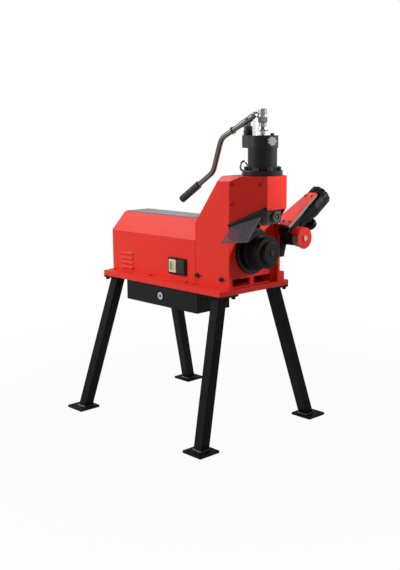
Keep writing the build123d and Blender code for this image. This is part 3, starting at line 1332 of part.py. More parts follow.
def inside_margin(point, outline, margin):
    """True where the point lies inside the outline and off its edges by the margin."""
    inside = False
    x, y = point
    for (ax, ay), (bx, by) in zip(outline, outline[1:] + outline[:1]):
        if (ay > y) != (by > y) and x < ax + (y - ay) * (bx - ax) / (by - ay):
            inside = not inside
        run = math.hypot(bx - ax, by - ay)
        share = min(max(((x - ax) * (bx - ax) + (y - ay) * (by - ay)) / run**2, 0), 1)
        if math.hypot(x - ax - share * (bx - ax), y - ay - share * (by - ay)) < margin:
            return False
    return inside


def finger_guard():
    """Perforated sheet with a rolled knuckle along the hinge pin."""
    outline = guard_outline()
    span = HINGE_SPAN - 2 * (HINGE_LUG_L + PLAY)
    lay = HINGE_PLANE * Pos(HINGE_LUG_L + PLAY, HINGE_LUG_W / 2, HINGE_OUT) * Rot(0, 90, 0)
    holes = []
    row_step = GUARD_HOLE_PITCH * math.sqrt(3) / 2
    rows = int(2 * abs(GUARD_BOTTOM[1]) / row_step)
    columns = int(2 * HINGE_SPAN / GUARD_HOLE_PITCH)
    for row in range(rows):
        for column in range(columns):
            u = (column + 0.5 * (row % 2)) * GUARD_HOLE_PITCH - HINGE_SPAN / 2
            v = -KNUCKLE_R - row * row_step
            if inside_margin((u, v), outline, GUARD_HOLE_R + GUARD_RIM):
                holes.append(Pos(u, v) * Circle(GUARD_HOLE_R))
    sheet = Polygon(*outline, align=None) - holes
    guard = HINGE_PLANE * Pos(0, 0, HINGE_OUT - GUARD_T / 2) * extrude(sheet, GUARD_T)
    guard += lay * Cylinder(KNUCKLE_R, span, align=BASE)
    return guard - lay * Pos(0, 0, -PLAY) * Cylinder(HINGE_PIN_R + RUN, span + 2 * PLAY, align=BASE)


def arm_box(e0, e1, m0, m1, x0, x1):
    """A box in the stabilizer's own directions: along the arm, across it upwards, and X off its middle."""
    return STAB_PLANE * block(e0, e1, m0, m1, x0, x1)


def arm_rod(e0, e1, radius, m=0.0):
    return STAB_PLANE * rod_x(e0, e1, radius, m, 0)


def stabilizer_arm():
    """Inclined guide body with a flat top: slim at its foot, then a swelling barrel with the lock boss."""
    half = STAB_W / 2
    arm = arm_box(0, STAB_L, 0, STAB_BODY_TOP, -half, half)
    arm += arm_rod(0, STAB_L, STAB_BODY_R) & arm_box(0, STAB_L, -STAB_BODY_R, 0, -half, half)
    flat = arm_box(BARREL_E, STAB_L, -BARREL_R, STAB_BODY_TOP, -BARREL_R, BARREL_R)
    taper = Cone(BARREL_FOOT_R, BARREL_R, BARREL_FULL_E - BARREL_E, align=BASE)
    barrel = STAB_PLANE * Pos(BARREL_E, 0, 0) * Rot(0, 90, 0) * taper
    barrel += arm_rod(BARREL_FULL_E, STAB_L, BARREL_R)
    arm += barrel & flat
    lock = STAB_PLANE * Pos(LOCK_E, 0, 0) * Rot(90, 0, 0)
    arm += lock * Cylinder(LOCK_BOSS_R, LOCK_SEAT, align=BASE)
    arm -= arm_rod(-PLAY, STAB_L - STAB_CAP, SLIDER_R + RUN)
    arm -= arm_rod(STAB_L - STAB_CAP - PLAY, STAB_L + PLAY, SCREW_R + RUN)
    for place in STRIP_SCREWS:
        arm -= screw_hole(place, SCREW_SHANK_R, RAIL_T + COVER_STRIP_T + 6 * PLAY)
    return arm - lock * Cylinder(LOCK_SCREW_R + RUN, LOCK_SEAT + PLAY, align=BASE)


def stabilizer_strip(low, thickness, flare, end):
    """Flat strip on top of the arm, widened towards the head by the flare and by its own end width."""
    half = STAB_W / 2
    outline = [
        (0, -half),
        (STAB_L, -half),
        (STAB_L, half + end),
        (FLARE_FULL, half + flare),
        (FLARE_START, half),
        (0, half),
    ]
    strip = STAB_PLANE * Pos(0, low, 0) * Rot(-90, 0, 0) * extrude(Polygon(*outline, align=None), thickness)
    for place in STRIP_SCREWS:
        strip -= screw_hole(place, SCREW_SHANK_R, RAIL_T + COVER_STRIP_T + 6 * PLAY)
    return strip


def stabilizer_rail():
    """Bright rail between the arm and its cover."""
    return stabilizer_strip(STAB_BODY_TOP, RAIL_T, 0, 0)


def stabilizer_cover():
    """Painted cover, wider at its lower end."""
    return stabilizer_strip(STAB_BODY_TOP + RAIL_T, COVER_STRIP_T, COVER_STRIP_FLARE, FLARE_END)


def stabilizer_bracket():
    """Bracket plate on the far side plate that carries the arm from behind."""
    front = STAB_X - STAB_W / 2
    rear = HEAD_FRONT_X - 4 * BRACKET_T
    low_z = TABLE_Z + BRACKET_LOW_H
    lean = math.tan(ALONG)
    start_z = TABLE_Z + STAB_H + STAB_BODY_TOP - RAIL_T
    out = STAB_Y + BRACKET_REACH
    outline = [
        (HEAD_HALF_W, low_z),
        (HEAD_HALF_W + BRACKET_FOOT, low_z),
        (out, start_z + (out - STAB_Y) * lean - 3 * BRACKET_T),
        (out, start_z + (out - STAB_Y) * lean),
        (HEAD_HALF_W, start_z + (HEAD_HALF_W - STAB_Y) * lean),
    ]
    plate = prism_x(outline, front - BRACKET_T, front)
    pad_top = start_z + (HEAD_HALF_W - STAB_Y) * lean
    return plate + block(rear, front, HEAD_HALF_W, HEAD_HALF_W + BRACKET_T, low_z, pad_top)


BLOCK_X0 = PLAY - STAB_W / 2
BLOCK_X1 = STAB_W / 2
HOOD_X0 = BLOCK_X1 + PLAY
ROLLER_X0 = BLOCK_X1 + COLLAR_L + PLAY
HOOD_X1 = ROLLER_X0 + ROLLER_L + PLAY


def stabilizer_slider():
    """Round slider in the arm, with a block below the arm's end and the roller's collared, slotted axle."""
    slider = arm_rod(BLOCK_E0, BLOCK_E0 + SLIDER_L, SLIDER_R)
    slider -= arm_rod(-BLOCK_E0, BLOCK_E0 + SLIDER_L + PLAY, SCREW_R + RUN)
    foot_m = -STAB_BODY_R - FOOT_GAP
    slider += arm_box(BLOCK_E0, -2 * PLAY, BLOCK_M0, BLOCK_M1, BLOCK_X0, BLOCK_X1)
    slider += arm_box(BLOCK_E0, BLOCK_E1, BLOCK_M0, foot_m, BLOCK_X0, BLOCK_X1)
    place = STAB_PLANE * Pos(ROLLER_E, ROLLER_M, 0)
    slider += place * Pos(0, 0, BLOCK_X1) * Cylinder(COLLAR_R, COLLAR_L, align=BASE)
    slider += place * Pos(0, 0, BLOCK_X1) * Cylinder(ROLLER_AXLE_R, HOOD_X1 - BLOCK_X1, align=BASE)
    slider += place * Pos(0, 0, HOOD_X1) * Cylinder(HOOD_SPIGOT_R, HOOD_DISC_T, align=BASE)
    cap_x = HOOD_X1 + HOOD_DISC_T
    slider += place * Pos(0, 0, cap_x) * Cylinder(HOOD_CAP_R, HOOD_CAP_T, align=BASE)
    return slider - place * Pos(0, 0, cap_x + HOOD_CAP_T) * Box(2 * HOOD_CAP_R, HOOD_CAP_SLOT, HOOD_CAP_T)


def stabilizer_roller():
    place = STAB_PLANE * Pos(ROLLER_E, ROLLER_M, ROLLER_X0)
    roller = place * Cylinder(ROLLER_R, ROLLER_L, align=BASE)
    roller = chamfer(roller.edges().filter_by(GeomType.CIRCLE), 2 * PLAY)
    bore = Cylinder(ROLLER_AXLE_R + RUN, ROLLER_L + 2 * PLAY, align=BASE)
    return roller - place * Pos(0, 0, -PLAY) * bore


def roller_hood():
    """Half hood over the roller with a round end disc on the axle."""
    place = STAB_PLANE * Pos(ROLLER_E, ROLLER_M, 0)
    disc = place * Pos(0, 0, HOOD_X1) * Cylinder(HOOD_R, HOOD_DISC_T, align=BASE)
    hole = Cylinder(HOOD_SPIGOT_R + RUN, HOOD_DISC_T + 2 * PLAY, align=BASE)
    disc -= place * Pos(0, 0, HOOD_X1 - PLAY) * hole
    shell = place * Pos(0, 0, HOOD_X0) * Cylinder(HOOD_R, HOOD_X1 - HOOD_X0, align=BASE)
    shell -= place * Pos(0, 0, HOOD_X0) * Cylinder(HOOD_R - HOOD_T, HOOD_X1 - HOOD_X0, align=BASE)
    keep = place * Rot(0, 0, -STAB_TILT - HOOD_LEAN) * block(-HOOD_R, HOOD_R, 0, HOOD_R, 0, HOOD_X1)
    return (shell & keep) + disc


def stabilizer_wheel():
    """Fluted handwheel with its screw down the arm."""
    e0 = STAB_L + WHEEL_GAP
    wheel = Circle(WHEEL_R)
    flute = Pos(WHEEL_R + WHEEL_FLUTE_R / 2, 0) * Circle(WHEEL_FLUTE_R)
    for step in range(WHEEL_FLUTES):
        wheel -= Rot(0, 0, step * 360 / WHEEL_FLUTES) * flute
    solid = STAB_PLANE * Pos(e0, 0, 0) * Rot(0, 90, 0) * extrude(wheel, WHEEL_T)
    hub = arm_rod(STAB_L + SLIDE, e0, 2 * SCREW_R)
    return solid + hub + arm_rod(SCREW_BLIND - BLOCK_E0, STAB_L + SLIDE, SCREW_R)


def lock_knob():
    """Round clamp knob under the arm, on its screw."""
    place = STAB_PLANE * Pos(LOCK_E, 0, 0) * Rot(90, 0, 0)
    top = LOCK_SEAT + SLIDE
    knob = place * Pos(0, 0, top) * Cylinder(LOCK_KNOB_R, LOCK_KNOB_T, align=BASE)
    knob = fillet(knob.edges().filter_by(GeomType.CIRCLE), LOCK_KNOB_ROUND)
    stem = place * Pos(0, 0, SLIDER_R + SLIDE) * Cylinder(LOCK_SCREW_R, top - SLIDER_R, align=BASE)
    return knob + stem


def small_screws():
    """Cover, panel and stabilizer screws of one size."""
    shank = COVER_SHEET + TABLE_SHEET
    screws = [screw(p, SCREW_HEAD_R, SCREW_HEAD_H, SCREW_SHANK_R, shank) for p in FLANGE_SCREWS]
    for along, up in PANEL_SCREWS:
        place = PANEL_PLANE * Pos(along, up, 0)
        near = screw(place, SCREW_HEAD_R, SCREW_HEAD_H, SCREW_SHANK_R, PANEL_T + PLAY)
        screws += [near, mirrored(near)]
    shank = RAIL_T + COVER_STRIP_T + 4 * PLAY
    return screws + [screw(p, SCREW_HEAD_R, SCREW_HEAD_H, SCREW_SHANK_R, shank) for p in STRIP_SCREWS]


def motor_body():
    """Motor frame with feet, bored for the rotor, and the cowl over its fan."""
    x0 = MOTOR_REAR_X
    x1 = MOTOR_FRONT_X
    body = rod_x(x0, x1, MOTOR_R, 0, SHAFT_Z)
    middle = (x0 + x1) / 2
    body += block(
        middle - MOTOR_FOOT_L / 2,
        middle + MOTOR_FOOT_L / 2,
        -MOTOR_FOOT_HALF,
        MOTOR_FOOT_HALF,
        TABLE_Z,
        SHAFT_Z - STATOR_BORE_R - MOTOR_WALL,
    )
    body -= rod_x(x0 + MOTOR_WALL, x1 - MOTOR_WALL, STATOR_BORE_R, 0, SHAFT_Z)
    return fan_cowl() + body - rod_x(x0 - PLAY, x1 + PLAY, MOTOR_SHAFT_R + RUN, 0, SHAFT_Z)


def fan_cowl():
    """Sheet cowl over the motor's fan."""
    x0 = MOTOR_REAR_X - COWL_L
    cowl = rod_x(x0, MOTOR_REAR_X, MOTOR_R, 0, SHAFT_Z)
    cowl -= rod_x(x0 + COWL_T, MOTOR_REAR_X + PLAY, MOTOR_R - COWL_T, 0, SHAFT_Z)
    return cowl - rod_x(x0 - PLAY, x0 + COWL_T + PLAY, STATOR_BORE_R / 2, 0, SHAFT_Z)


def motor_rotor():
    """Rotor core on its shaft, with the fan behind and the first pinion in front."""
    fan_x = MOTOR_REAR_X - FAN_GAP - FAN_T
    core = rod_x(MOTOR_REAR_X + 2 * MOTOR_WALL, MOTOR_FRONT_X - 2 * MOTOR_WALL, ROTOR_R, 0, SHAFT_Z)
    rotor = core + rod_x(fan_x, MOTOR_FRONT_X, MOTOR_SHAFT_R, 0, SHAFT_Z)
    rotor += rod_x(fan_x, fan_x + FAN_T, FAN_R / 3, 0, SHAFT_Z)
    for blade in range(FAN_BLADES):
        vane = block(fan_x, fan_x + FAN_T, 0, FAN_R, -PLAY, PLAY)
        rotor += Pos(0, 0, SHAFT_Z) * Rot(360 * blade / FAN_BLADES, 0, 0) * vane
    root_r = FAST_MODULE * (FAST_PINION_TEETH / 2 - 1.2)
    rotor += rod_x(MOTOR_FRONT_X, FAST_X0 + FAST_FACE, root_r, 0, SHAFT_Z)
    return rotor + gear(FAST_PINION_TEETH, FAST_MODULE, FAST_X0, FAST_X0 + FAST_FACE, SHAFT_Z, -90)


def lay_gear():
    """Layshaft with the large first gear and the small second pinion."""
    pitch = 360.0 / FAST_GEAR_TEETH
    shaft = rod_x(GEARCASE_X0, GEARCASE_X1, LAYSHAFT_R, 0, LAYSHAFT_Z)
    root_r = SLOW_MODULE * (SLOW_PINION_TEETH / 2 - 1.2)
    shaft -= rod_x(SLOW_X0 - PLAY, SLOW_X0 + SLOW_FACE + PLAY, 2 * LAYSHAFT_R, 0, LAYSHAFT_Z)
    shaft += rod_x(SLOW_X0 - PLAY, SLOW_X0 + SLOW_FACE + PLAY, root_r, 0, LAYSHAFT_Z)
    shaft += gear(FAST_GEAR_TEETH, FAST_MODULE, FAST_X0, FAST_X0 + FAST_FACE, LAYSHAFT_Z, 90 + pitch / 2)
    return shaft + gear(SLOW_PINION_TEETH, SLOW_MODULE, SLOW_X0, SLOW_X0 + SLOW_FACE, LAYSHAFT_Z, 90)


def gearbox_case():
    """Gear case between the motor and the rear bulkhead, with bores for both shafts."""
    case = block(GEARCASE_X0, GEARCASE_X1, -GEARCASE_HALF_W, GEARCASE_HALF_W, TABLE_Z, TABLE_Z + GEARCASE_H)
    half = GEARCASE_HALF_W - GEARCASE_WALL
    case -= block(
        GEARCASE_X0 + GEARCASE_WALL,
        GEARCASE_X1 - GEARCASE_WALL,
        -half,
        half,
        TABLE_Z + GEARCASE_WALL,
        TABLE_Z + GEARCASE_H - GEARCASE_WALL,
    )
    case -= rod_x(GEARCASE_X0 - PLAY, GEARCASE_X1 + PLAY, LAYSHAFT_R + RUN, 0, LAYSHAFT_Z)
    case -= rod_x(GEARCASE_X0 - PLAY, GEARCASE_X0 + GEARCASE_WALL + PLAY, MOTOR_SHAFT_R + RUN, 0, SHAFT_Z)
    return case - rod_x(GEARCASE_X1 - GEARCASE_WALL - PLAY, GEARCASE_X1 + PLAY, SHAFT_R + RUN, 0, SHAFT_Z)


def parts():
    """Every node of the machine by name: one solid, or a list of separate solids."""
    panel = corner_panel()
    return {
        "base_tray": base_tray(),
        "leg_roll_operator": leg(1, -1),
        "leg_roll_far": leg(1, 1),
        "leg_motor_operator": leg(-1, -1),
        "leg_motor_far": leg(-1, 1),
        "leg_bolts": leg_bolts(),
        "drawer_case": drawer_case(),
        "drawer_box": drawer_box(),
        "drawer_lock": drawer_lock(),
        "motor_cover": motor_cover(),
        "cover_mat": cover_mat(),
        "cable_gland": cable_gland(),
        "small_screws": small_screws(),
        "switch_bezel": switch_bezel(),
        "start_button": push_button(-1),
        "stop_button": push_button(1),
        "side_plate_operator": side_plate(-1),
        "side_plate_far": side_plate(1),
        "rear_bulkhead": bulkhead(HEAD_REAR_X, REAR_BULKHEAD_H),
        "front_bulkhead": bulkhead(FRONT_BULKHEAD_X, FRONT_BULKHEAD_H),
        "front_plate": front_plate(),
        "cap_screws": cap_screws(),
        "head_top_plate": head_top_plate(),
        "head_back_cover": head_back_cover(),
        "corner_panel_operator": panel,
        "corner_panel_far": mirrored(panel),
        "ram_guide": ram_guide(),
        "main_bearings": main_bearings(),
        "bearing_cover": bearing_cover(),
        "drive_shaft": drive_shaft(),
        "drive_roll": drive_roll(),
        "ram_slide": ram_slide(),
        "ram_piston": ram_piston(),
        "upper_axle": upper_axle(),
        "groove_roll": groove_roll(),
        "cylinder_barrel": cylinder_barrel(),
        "cylinder_head": cylinder_head(),
        "pump_plunger": pump_plunger(),
        "pump_link": pump_link(),
        "pump_lever": pump_lever(),
        "lever_grip": lever_grip(),
        "release_knob": release_knob(),
        "filler_plug": filler_plug(),
        "depth_knob": depth_knob(),
        "lifting_eye": lifting_eye(),
        "guard_hinge_bar": hinge_bar(),
        "finger_guard": finger_guard(),
        "stabilizer_bracket": stabilizer_bracket(),
        "stabilizer_arm": stabilizer_arm(),
        "stabilizer_rail": stabilizer_rail(),
        "stabilizer_cover": stabilizer_cover(),
        "stabilizer_slider": stabilizer_slider(),
        "stabilizer_roller": stabilizer_roller(),
        "roller_hood": roller_hood(),
        "stabilizer_wheel": stabilizer_wheel(),
        "lock_knob": lock_knob(),
        "motor_body": motor_body(),
        "motor_rotor": motor_rotor(),
        "lay_gear": lay_gear(),
        "gearbox_case": gearbox_case(),
    }


os.makedirs("parts", exist_ok=True)
for node, shape in parts().items():
    if isinstance(shape, list):
        shape = Compound(children=[solid for piece in shape for solid in piece.solids()])
    export_step(shape, f"parts/{node}.step")
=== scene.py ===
import json
import math

import bpy
from mathutils import Matrix, Vector


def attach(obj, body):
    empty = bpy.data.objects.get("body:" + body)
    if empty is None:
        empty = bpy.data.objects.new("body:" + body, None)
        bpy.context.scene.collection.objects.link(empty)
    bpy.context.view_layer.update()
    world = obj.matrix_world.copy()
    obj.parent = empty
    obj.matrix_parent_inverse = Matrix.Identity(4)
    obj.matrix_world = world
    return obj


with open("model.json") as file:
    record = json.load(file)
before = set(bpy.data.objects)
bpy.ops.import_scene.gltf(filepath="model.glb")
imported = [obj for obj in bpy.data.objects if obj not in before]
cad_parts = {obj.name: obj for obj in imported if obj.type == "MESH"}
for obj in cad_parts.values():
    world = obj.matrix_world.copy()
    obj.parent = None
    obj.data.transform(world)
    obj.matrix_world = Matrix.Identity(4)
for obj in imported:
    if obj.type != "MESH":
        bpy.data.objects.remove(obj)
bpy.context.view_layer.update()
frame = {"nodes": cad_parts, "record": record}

# Places on the machine that finishes are laid out from, in metres
SHAFT_Z = 0.707
AXLE_Z = 0.843
# Radii of the ring painted near black as shade in the nut's groove
NUT_GROOVE_IN, NUT_GROOVE_OUT = 0.006, 0.012
ROLL_END_X = 0.430
HOOD_FACE_X = 0.4405
KNOB_X = 0.380
KNOB_RING_LOW, KNOB_RING_HIGH = 1.179, 1.200
KNURLS = 60
NECK_R = 0.0098
HEAD_TOP_Z = 1.132
LINK_HALF_T = 0.0045
PANEL_SCREW_Z = 0.70
START_X, START_Z = 0.0375, 0.632
START_FIELD_HALF_W, START_FIELD_HALF_H = 0.0128, 0.0168
LOCK_X, LOCK_Z = 0.004, 0.513
LOCK_PLUG_R = 0.0087
# Half sizes of the slot painted near black as the keyway's shade
KEYWAY_HALF_W, KEYWAY_HALF_H = 0.0022, 0.0076
HINGE_START = Vector((0.342, -0.134, 0.808))
HINGE_UP = Vector((-0.2502, -0.1848, 0.9504))

# Scratches run across the direction with the high number, in marks per metre
ACROSS_X = (900.0, 60.0, 60.0)
ACROSS_Y = (60.0, 900.0, 60.0)
ACROSS_Z = (60.0, 60.0, 1500.0)
SCRATCH_DEPTH = 0.00002
TOOL_RINGS = 900.0

# Leg tubes and the weld beads at their ends, in metres
LEG_TOP = (0.302, 0.146, 0.548)
LEG_FOOT = (0.358, 0.296, 0.0)
LEG_TUBE = 0.040
FOOT_TOP_Z = 0.008
FLANGE_LOW_Z = LEG_TOP[2]
BEAD_R = 0.0045
BEAD_SWELL = 0.14
BEAD_SIDES = 8
RIPPLE = 0.008
RIPPLE_STEPS = 4

# Camera fitted to the photo: degrees, metres, and pixels of its longer side
PHOTO_AZIMUTH, PHOTO_ELEVATION, PHOTO_ROLL = 46.70, 10.59, -0.39
PHOTO_EYE = (2.53085, -2.32011, 1.17289)
PHOTO_SIDE = 570
PHOTO_FOCAL = 860.65
PHOTO_SHIFT_X, PHOTO_SHIFT_Y = -4.56, 0.18
SENSOR_MM = 36.0

# Studio
FLOOR_REACH = 30.0
FLOOR_DROP = 0.0004
FLOOR_SHADE = 0.5
SHADOW_SHARE = 0.95
SHADOW_NEAR, SHADOW_FAR = 0.6, 2.2
AMBIENT = 0.25
DARK_AZIMUTH = 8.0
ROOM_BRIGHT, ROOM_DARK = 0.42, 0.05
LAMP_DISTANCE = 6.0


class Value:
    """A socket in a finish's node tree. Arithmetic on values adds the Math nodes that it needs."""

    def __init__(self, socket):
        self.socket = socket
        self.tree = socket.id_data

    def node(self, kind, settings=None, sockets=None, out=0):
        """Adds a node to the same tree: first its settings, then the values or links of its sockets."""
        made = self.tree.nodes.new(kind)
        for name, setting in (settings or {}).items():
            setattr(made, name, setting)
        for name, value in (sockets or {}).items():
            if isinstance(value, Value):
                self.tree.links.new(value.socket, made.inputs[name])
            else:
                made.inputs[name].default_value = value
        if made.outputs:
            return Value(made.outputs[out])

    def maths(self, operation, first, second=0.0):
        return self.node("ShaderNodeMath", {"operation": operation}, {0: first, 1: second})

    def __add__(self, other):
        return self.maths("ADD", self, other)

    def __sub__(self, other):
        return self.maths("SUBTRACT", self, other)

    def __rsub__(self, other):
        return self.maths("SUBTRACT", other, self)

    def __mul__(self, other):
        return self.maths("MULTIPLY", self, other)

    def __pow__(self, other):
        return self.maths("POWER", self, other)

    def __abs__(self):
        return self.maths("ABSOLUTE", self)

    __radd__ = __add__
    __rmul__ = __mul__

    def largest(self, other):
        return self.maths("MAXIMUM", self, other)

    def rise(self, low, high):
        """0 below low, 1 above high, smooth between; falling where low is above high."""
        limits = {"Value": self, "From Min": low, "From Max": high}
        return self.node("ShaderNodeMapRange", {"interpolation_type": "SMOOTHSTEP"}, limits)

    def within(self, half, soft):
        """1 where this value lies within half of zero, with a soft edge."""
        return abs(self).rise(half + soft, half - soft)

    def between(self, low, high):
        """This value from 0 to 1, spread over low to high."""
        return self * (high - low) + low

    def blend(self, first, second):
        """Colour that goes from first to second with this value."""
        return self.node("ShaderNodeMix", {"data_type": "RGBA"}, {0: self, 6: first, 7: second}, 2)

    def stretch(self, *shares):
        return self.node("ShaderNodeVectorMath", {"operation": "MULTIPLY"}, {0: self, 1: shares})

    def along(self, axis):
        """One coordinate of a place."""
        return self.node("ShaderNodeSeparateXYZ", None, {0: self}, "XYZ".index(axis))

    def dot(self, direction):
        return self.node("ShaderNodeVectorMath", {"operation": "DOT_PRODUCT"}, {0: self, 1: direction}, 1)

    def noise(self, scale, detail=2.0, roughness=0.5):
        sockets = {"Vector": self, "Scale": scale, "Detail": detail, "Roughness": roughness}
        return self.node("ShaderNodeTexNoise", None, sockets)

    def scratches(self, grain):
        return self.stretch(*grain).noise(1.0, 4.0, 0.6)

    def bump(self, depth, normal):
        sockets = {"Height": self, "Strength": 1.0, "Distance": depth, "Normal": normal}
        return self.node("ShaderNodeBump", None, sockets)


def start_finish(name):
    """A new material, and the place on the piece that its finish is laid out by."""
    material = bpy.data.materials.new(name)
    material.use_nodes = True
    material.node_tree.nodes.clear()
    seat = material.node_tree.nodes.new("ShaderNodeTexCoord")
    return material, Value(seat.outputs["Object"])


def end_finish(material, place, sockets):
    shader = place.node("ShaderNodeBsdfPrincipled", None, sockets)
    place.node("ShaderNodeOutputMaterial", None, {"Surface": shader})
    return material


def soft_edge(place, radius):
    """Normal of a surface whose sharp edges are broken by the radius."""
    return place.node("ShaderNodeBevel", {"samples": 4}, {"Radius": radius})


def colour(red, green, blue):
    return (red, green, blue, 1.0)


def reach(first, second):
    """Distance from zero of a point with these two coordinates."""
    return (first * first + second * second) ** 0.5


def ring_radius(place, centre_z):
    """Distance from a line along X at the given height."""
    return reach(place.along("Y"), place.along("Z") - centre_z)


def painted(name, deep, lit, rough, peel_scale, peel_depth, edge, scuff, shine):
    """Sprayed or powder-coated sheet and plate: slow drift of shade, orange peel and rubbed patches."""
    material, place = start_finish(name)
    drift = place.noise(6.0, 3.0)
    rubbed = place.noise(38.0, 6.0, 0.7).rise(0.58, 0.8)
    nibs = place.noise(420.0, 1.0).rise(0.74, 0.8)
    shade = drift.blend(deep, lit)
    shade = (rubbed * 0.5).blend(shade, scuff)
    shade = (nibs * 0.25).blend(shade, scuff)
    peel = place.noise(peel_scale, 2.0)
    return end_finish(material, place, {
        "Base Color": shade,
        "Roughness": drift.between(*rough) + rubbed * 0.06,
        "Specular IOR Level": shine,
        "Normal": peel.bump(peel_depth, soft_edge(place, edge)),
    })


def brushed(name, dark, light, rough, grain, metallic=1.0):
    """Ground or blacked steel with fine scratches one way."""
    material, place = start_finish(name)
    streak = place.scratches(grain)
    cloud = place.noise(30.0, 4.0)
    return end_finish(material, place, {
        "Base Color": (streak * 0.6 + cloud * 0.4).blend(dark, light),
        "Metallic": metallic,
        "Roughness": cloud.between(*rough),
        "Normal": streak.bump(SCRATCH_DEPTH, soft_edge(place, 0.0006)),
    })


def turned(name, dark, light, rough, centre_z, ring_depth, metallic=1.0, shine=0.5):
    """Steel turned about a line along X at the given height, with fine tool rings."""
    material, place = start_finish(name)
    radius = ring_radius(place, centre_z)
    tool = {"X": place.along("X") * TOOL_RINGS, "Y": radius * TOOL_RINGS}
    rings = place.node("ShaderNodeCombineXYZ", None, tool).noise(1.0, 2.0)
    wear = place.noise(55.0, 5.0, 0.65)
    return end_finish(material, place, {
        "Base Color": (rings * 0.4 + wear * 0.6).blend(dark, light),
        "Metallic": metallic,
        "Roughness": wear.between(*rough),
        "Specular IOR Level": shine,
        "Normal": rings.bump(ring_depth, soft_edge(place, 0.0006)),
    })


def moulded(name, deep, lit, rough, grain_scale, grain_depth, shine=0.5):
    """Moulded plastic or rubber with a fine grain."""
    material, place = start_finish(name)
    drift = place.noise(25.0, 4.0)
    grain = place.noise(grain_scale, 3.0)
    return end_finish(material, place, {
        "Base Color": drift.blend(deep, lit),
        "Roughness": drift.between(*rough),
        "Specular IOR Level": shine,
        "Normal": grain.bump(grain_depth, soft_edge(place, 0.0007)),
    })


def capped_steel(name, dark, light, cap_x, cap_dark, cap_light, metallic):
    """Steel whose end beyond cap_x has a shade of its own."""
    material, place = start_finish(name)
    cap = place.along("X").rise(cap_x, cap_x + 0.0003)
    streak = place.scratches(ACROSS_X)
    return end_finish(material, place, {
        "Base Color": cap.blend(streak.blend(dark, light), streak.blend(cap_dark, cap_light)),
        "Metallic": cap.between(metallic, 0.7),
        "Roughness": streak.between(0.36, 0.48),
        "Specular IOR Level": 0.15,
        "Normal": streak.bump(SCRATCH_DEPTH, soft_edge(place, 0.0006)),
    })


def knurled_chrome():
    """Bright plating, with a straight knurl round the adjuster's ring."""
    material, place = start_finish("knurled_chrome")
    angle = place.maths("ARCTAN2", place.along("Y"), place.along("X") - KNOB_X)
    ridge = place.maths("SINE", angle * KNURLS)
    height = place.along("Z")
    above = height.rise(KNOB_RING_LOW, KNOB_RING_LOW + 0.001)
    below = height.rise(KNOB_RING_HIGH, KNOB_RING_HIGH - 0.001)
    ring = above * below
    haze = place.noise(80.0, 4.0)
    plated = haze.blend(colour(0.36, 0.36, 0.37), colour(0.44, 0.44, 0.45))
    return end_finish(material, place, {
        "Base Color": ring.blend(plated, colour(0.16, 0.16, 0.16)),
        "Metallic": 1.0,
        "Roughness": haze.between(0.28, 0.36) + ring * 0.1,
        "Normal": (ridge * ring).bump(0.0004, soft_edge(place, 0.0006)),
    })


def start_button_plastic():
    """Pale button with a green field inside its frame, and painted shade darkening the field's left side."""
    material, place = start_finish("start_button_plastic")
    sideways = place.along("X") - START_X
    upright = place.along("Z") - START_Z
    field = sideways.within(START_FIELD_HALF_W, 0.0004) * upright.within(START_FIELD_HALF_H, 0.0004)
    haze = place.noise(60.0, 3.0)
    cream = haze.blend(colour(0.66, 0.58, 0.34), colour(0.72, 0.65, 0.4))
    fresh = haze.blend(colour(0.34, 0.46, 0.16), colour(0.42, 0.54, 0.22))
    # Painted shade: the field darkens towards its left edge to near black olive, standing in for the frame's
    # shadow
    green = sideways.rise(-0.009, 0.0).blend(colour(0.09, 0.08, 0.03), fresh)
    return end_finish(material, place, {
        "Base Color": field.blend(cream, green),
        "Roughness": haze.between(0.25, 0.4),
        "Normal": field.bump(0.0006, soft_edge(place, 0.0007)),
    })


def lock_face_steel():
    """Bright lock face with a duller plug, and a slot for the key painted near black as its shade."""
    material, place = start_finish("lock_face_steel")
    sideways = place.along("X") - LOCK_X
    upright = place.along("Z") - LOCK_Z
    plug = reach(sideways, upright).within(LOCK_PLUG_R, 0.0003)
    # Painted shade: the slot for the key is coloured near black in place of the shadow inside it
    painted_keyway_shade = sideways.within(KEYWAY_HALF_W, 0.0004) * upright.within(KEYWAY_HALF_H, 0.0004)
    wear = place.noise(200.0, 4.0)
    bright = wear.blend(colour(0.46, 0.46, 0.47), colour(0.62, 0.62, 0.63))
    steel = plug.blend(bright, colour(0.2, 0.2, 0.21))
    return end_finish(material, place, {
        "Base Color": painted_keyway_shade.blend(steel, colour(0.006, 0.006, 0.006)),
        "Metallic": 0.4,
        "Roughness": wear.between(0.28, 0.4),
        "Normal": wear.bump(SCRATCH_DEPTH, soft_edge(place, 0.0006)),
    })


def ram_steel():
    """Blacked ram whose two sides are ground to run in the guide; faces looking along Y get a pale colour that
    is partly bare ground steel and partly a painted sheen of the lit side.
    """
    material, place = start_finish("ram_steel")
    facing = place.node("ShaderNodeNewGeometry", None, None, "True Normal")
    # Painted light: faces looking along Y are coloured pale, partly as ground steel and partly as the sheen of
    # the side that the light falls on
    ground = abs(facing.along("Y")).rise(0.6, 0.8)
    streak = place.scratches(ACROSS_Z)
    black = streak.blend(colour(0.006, 0.006, 0.0065), colour(0.014, 0.014, 0.015))
    bare = streak.blend(colour(0.14, 0.15, 0.145), colour(0.2, 0.21, 0.205))
    return end_finish(material, place, {
        "Base Color": ground.blend(black, bare),
        "Metallic": 0.2,
        "Roughness": streak.between(0.4, 0.46) + ground * 0.1,
        "Normal": streak.bump(0.00003, soft_edge(place, 0.0008)),
    })


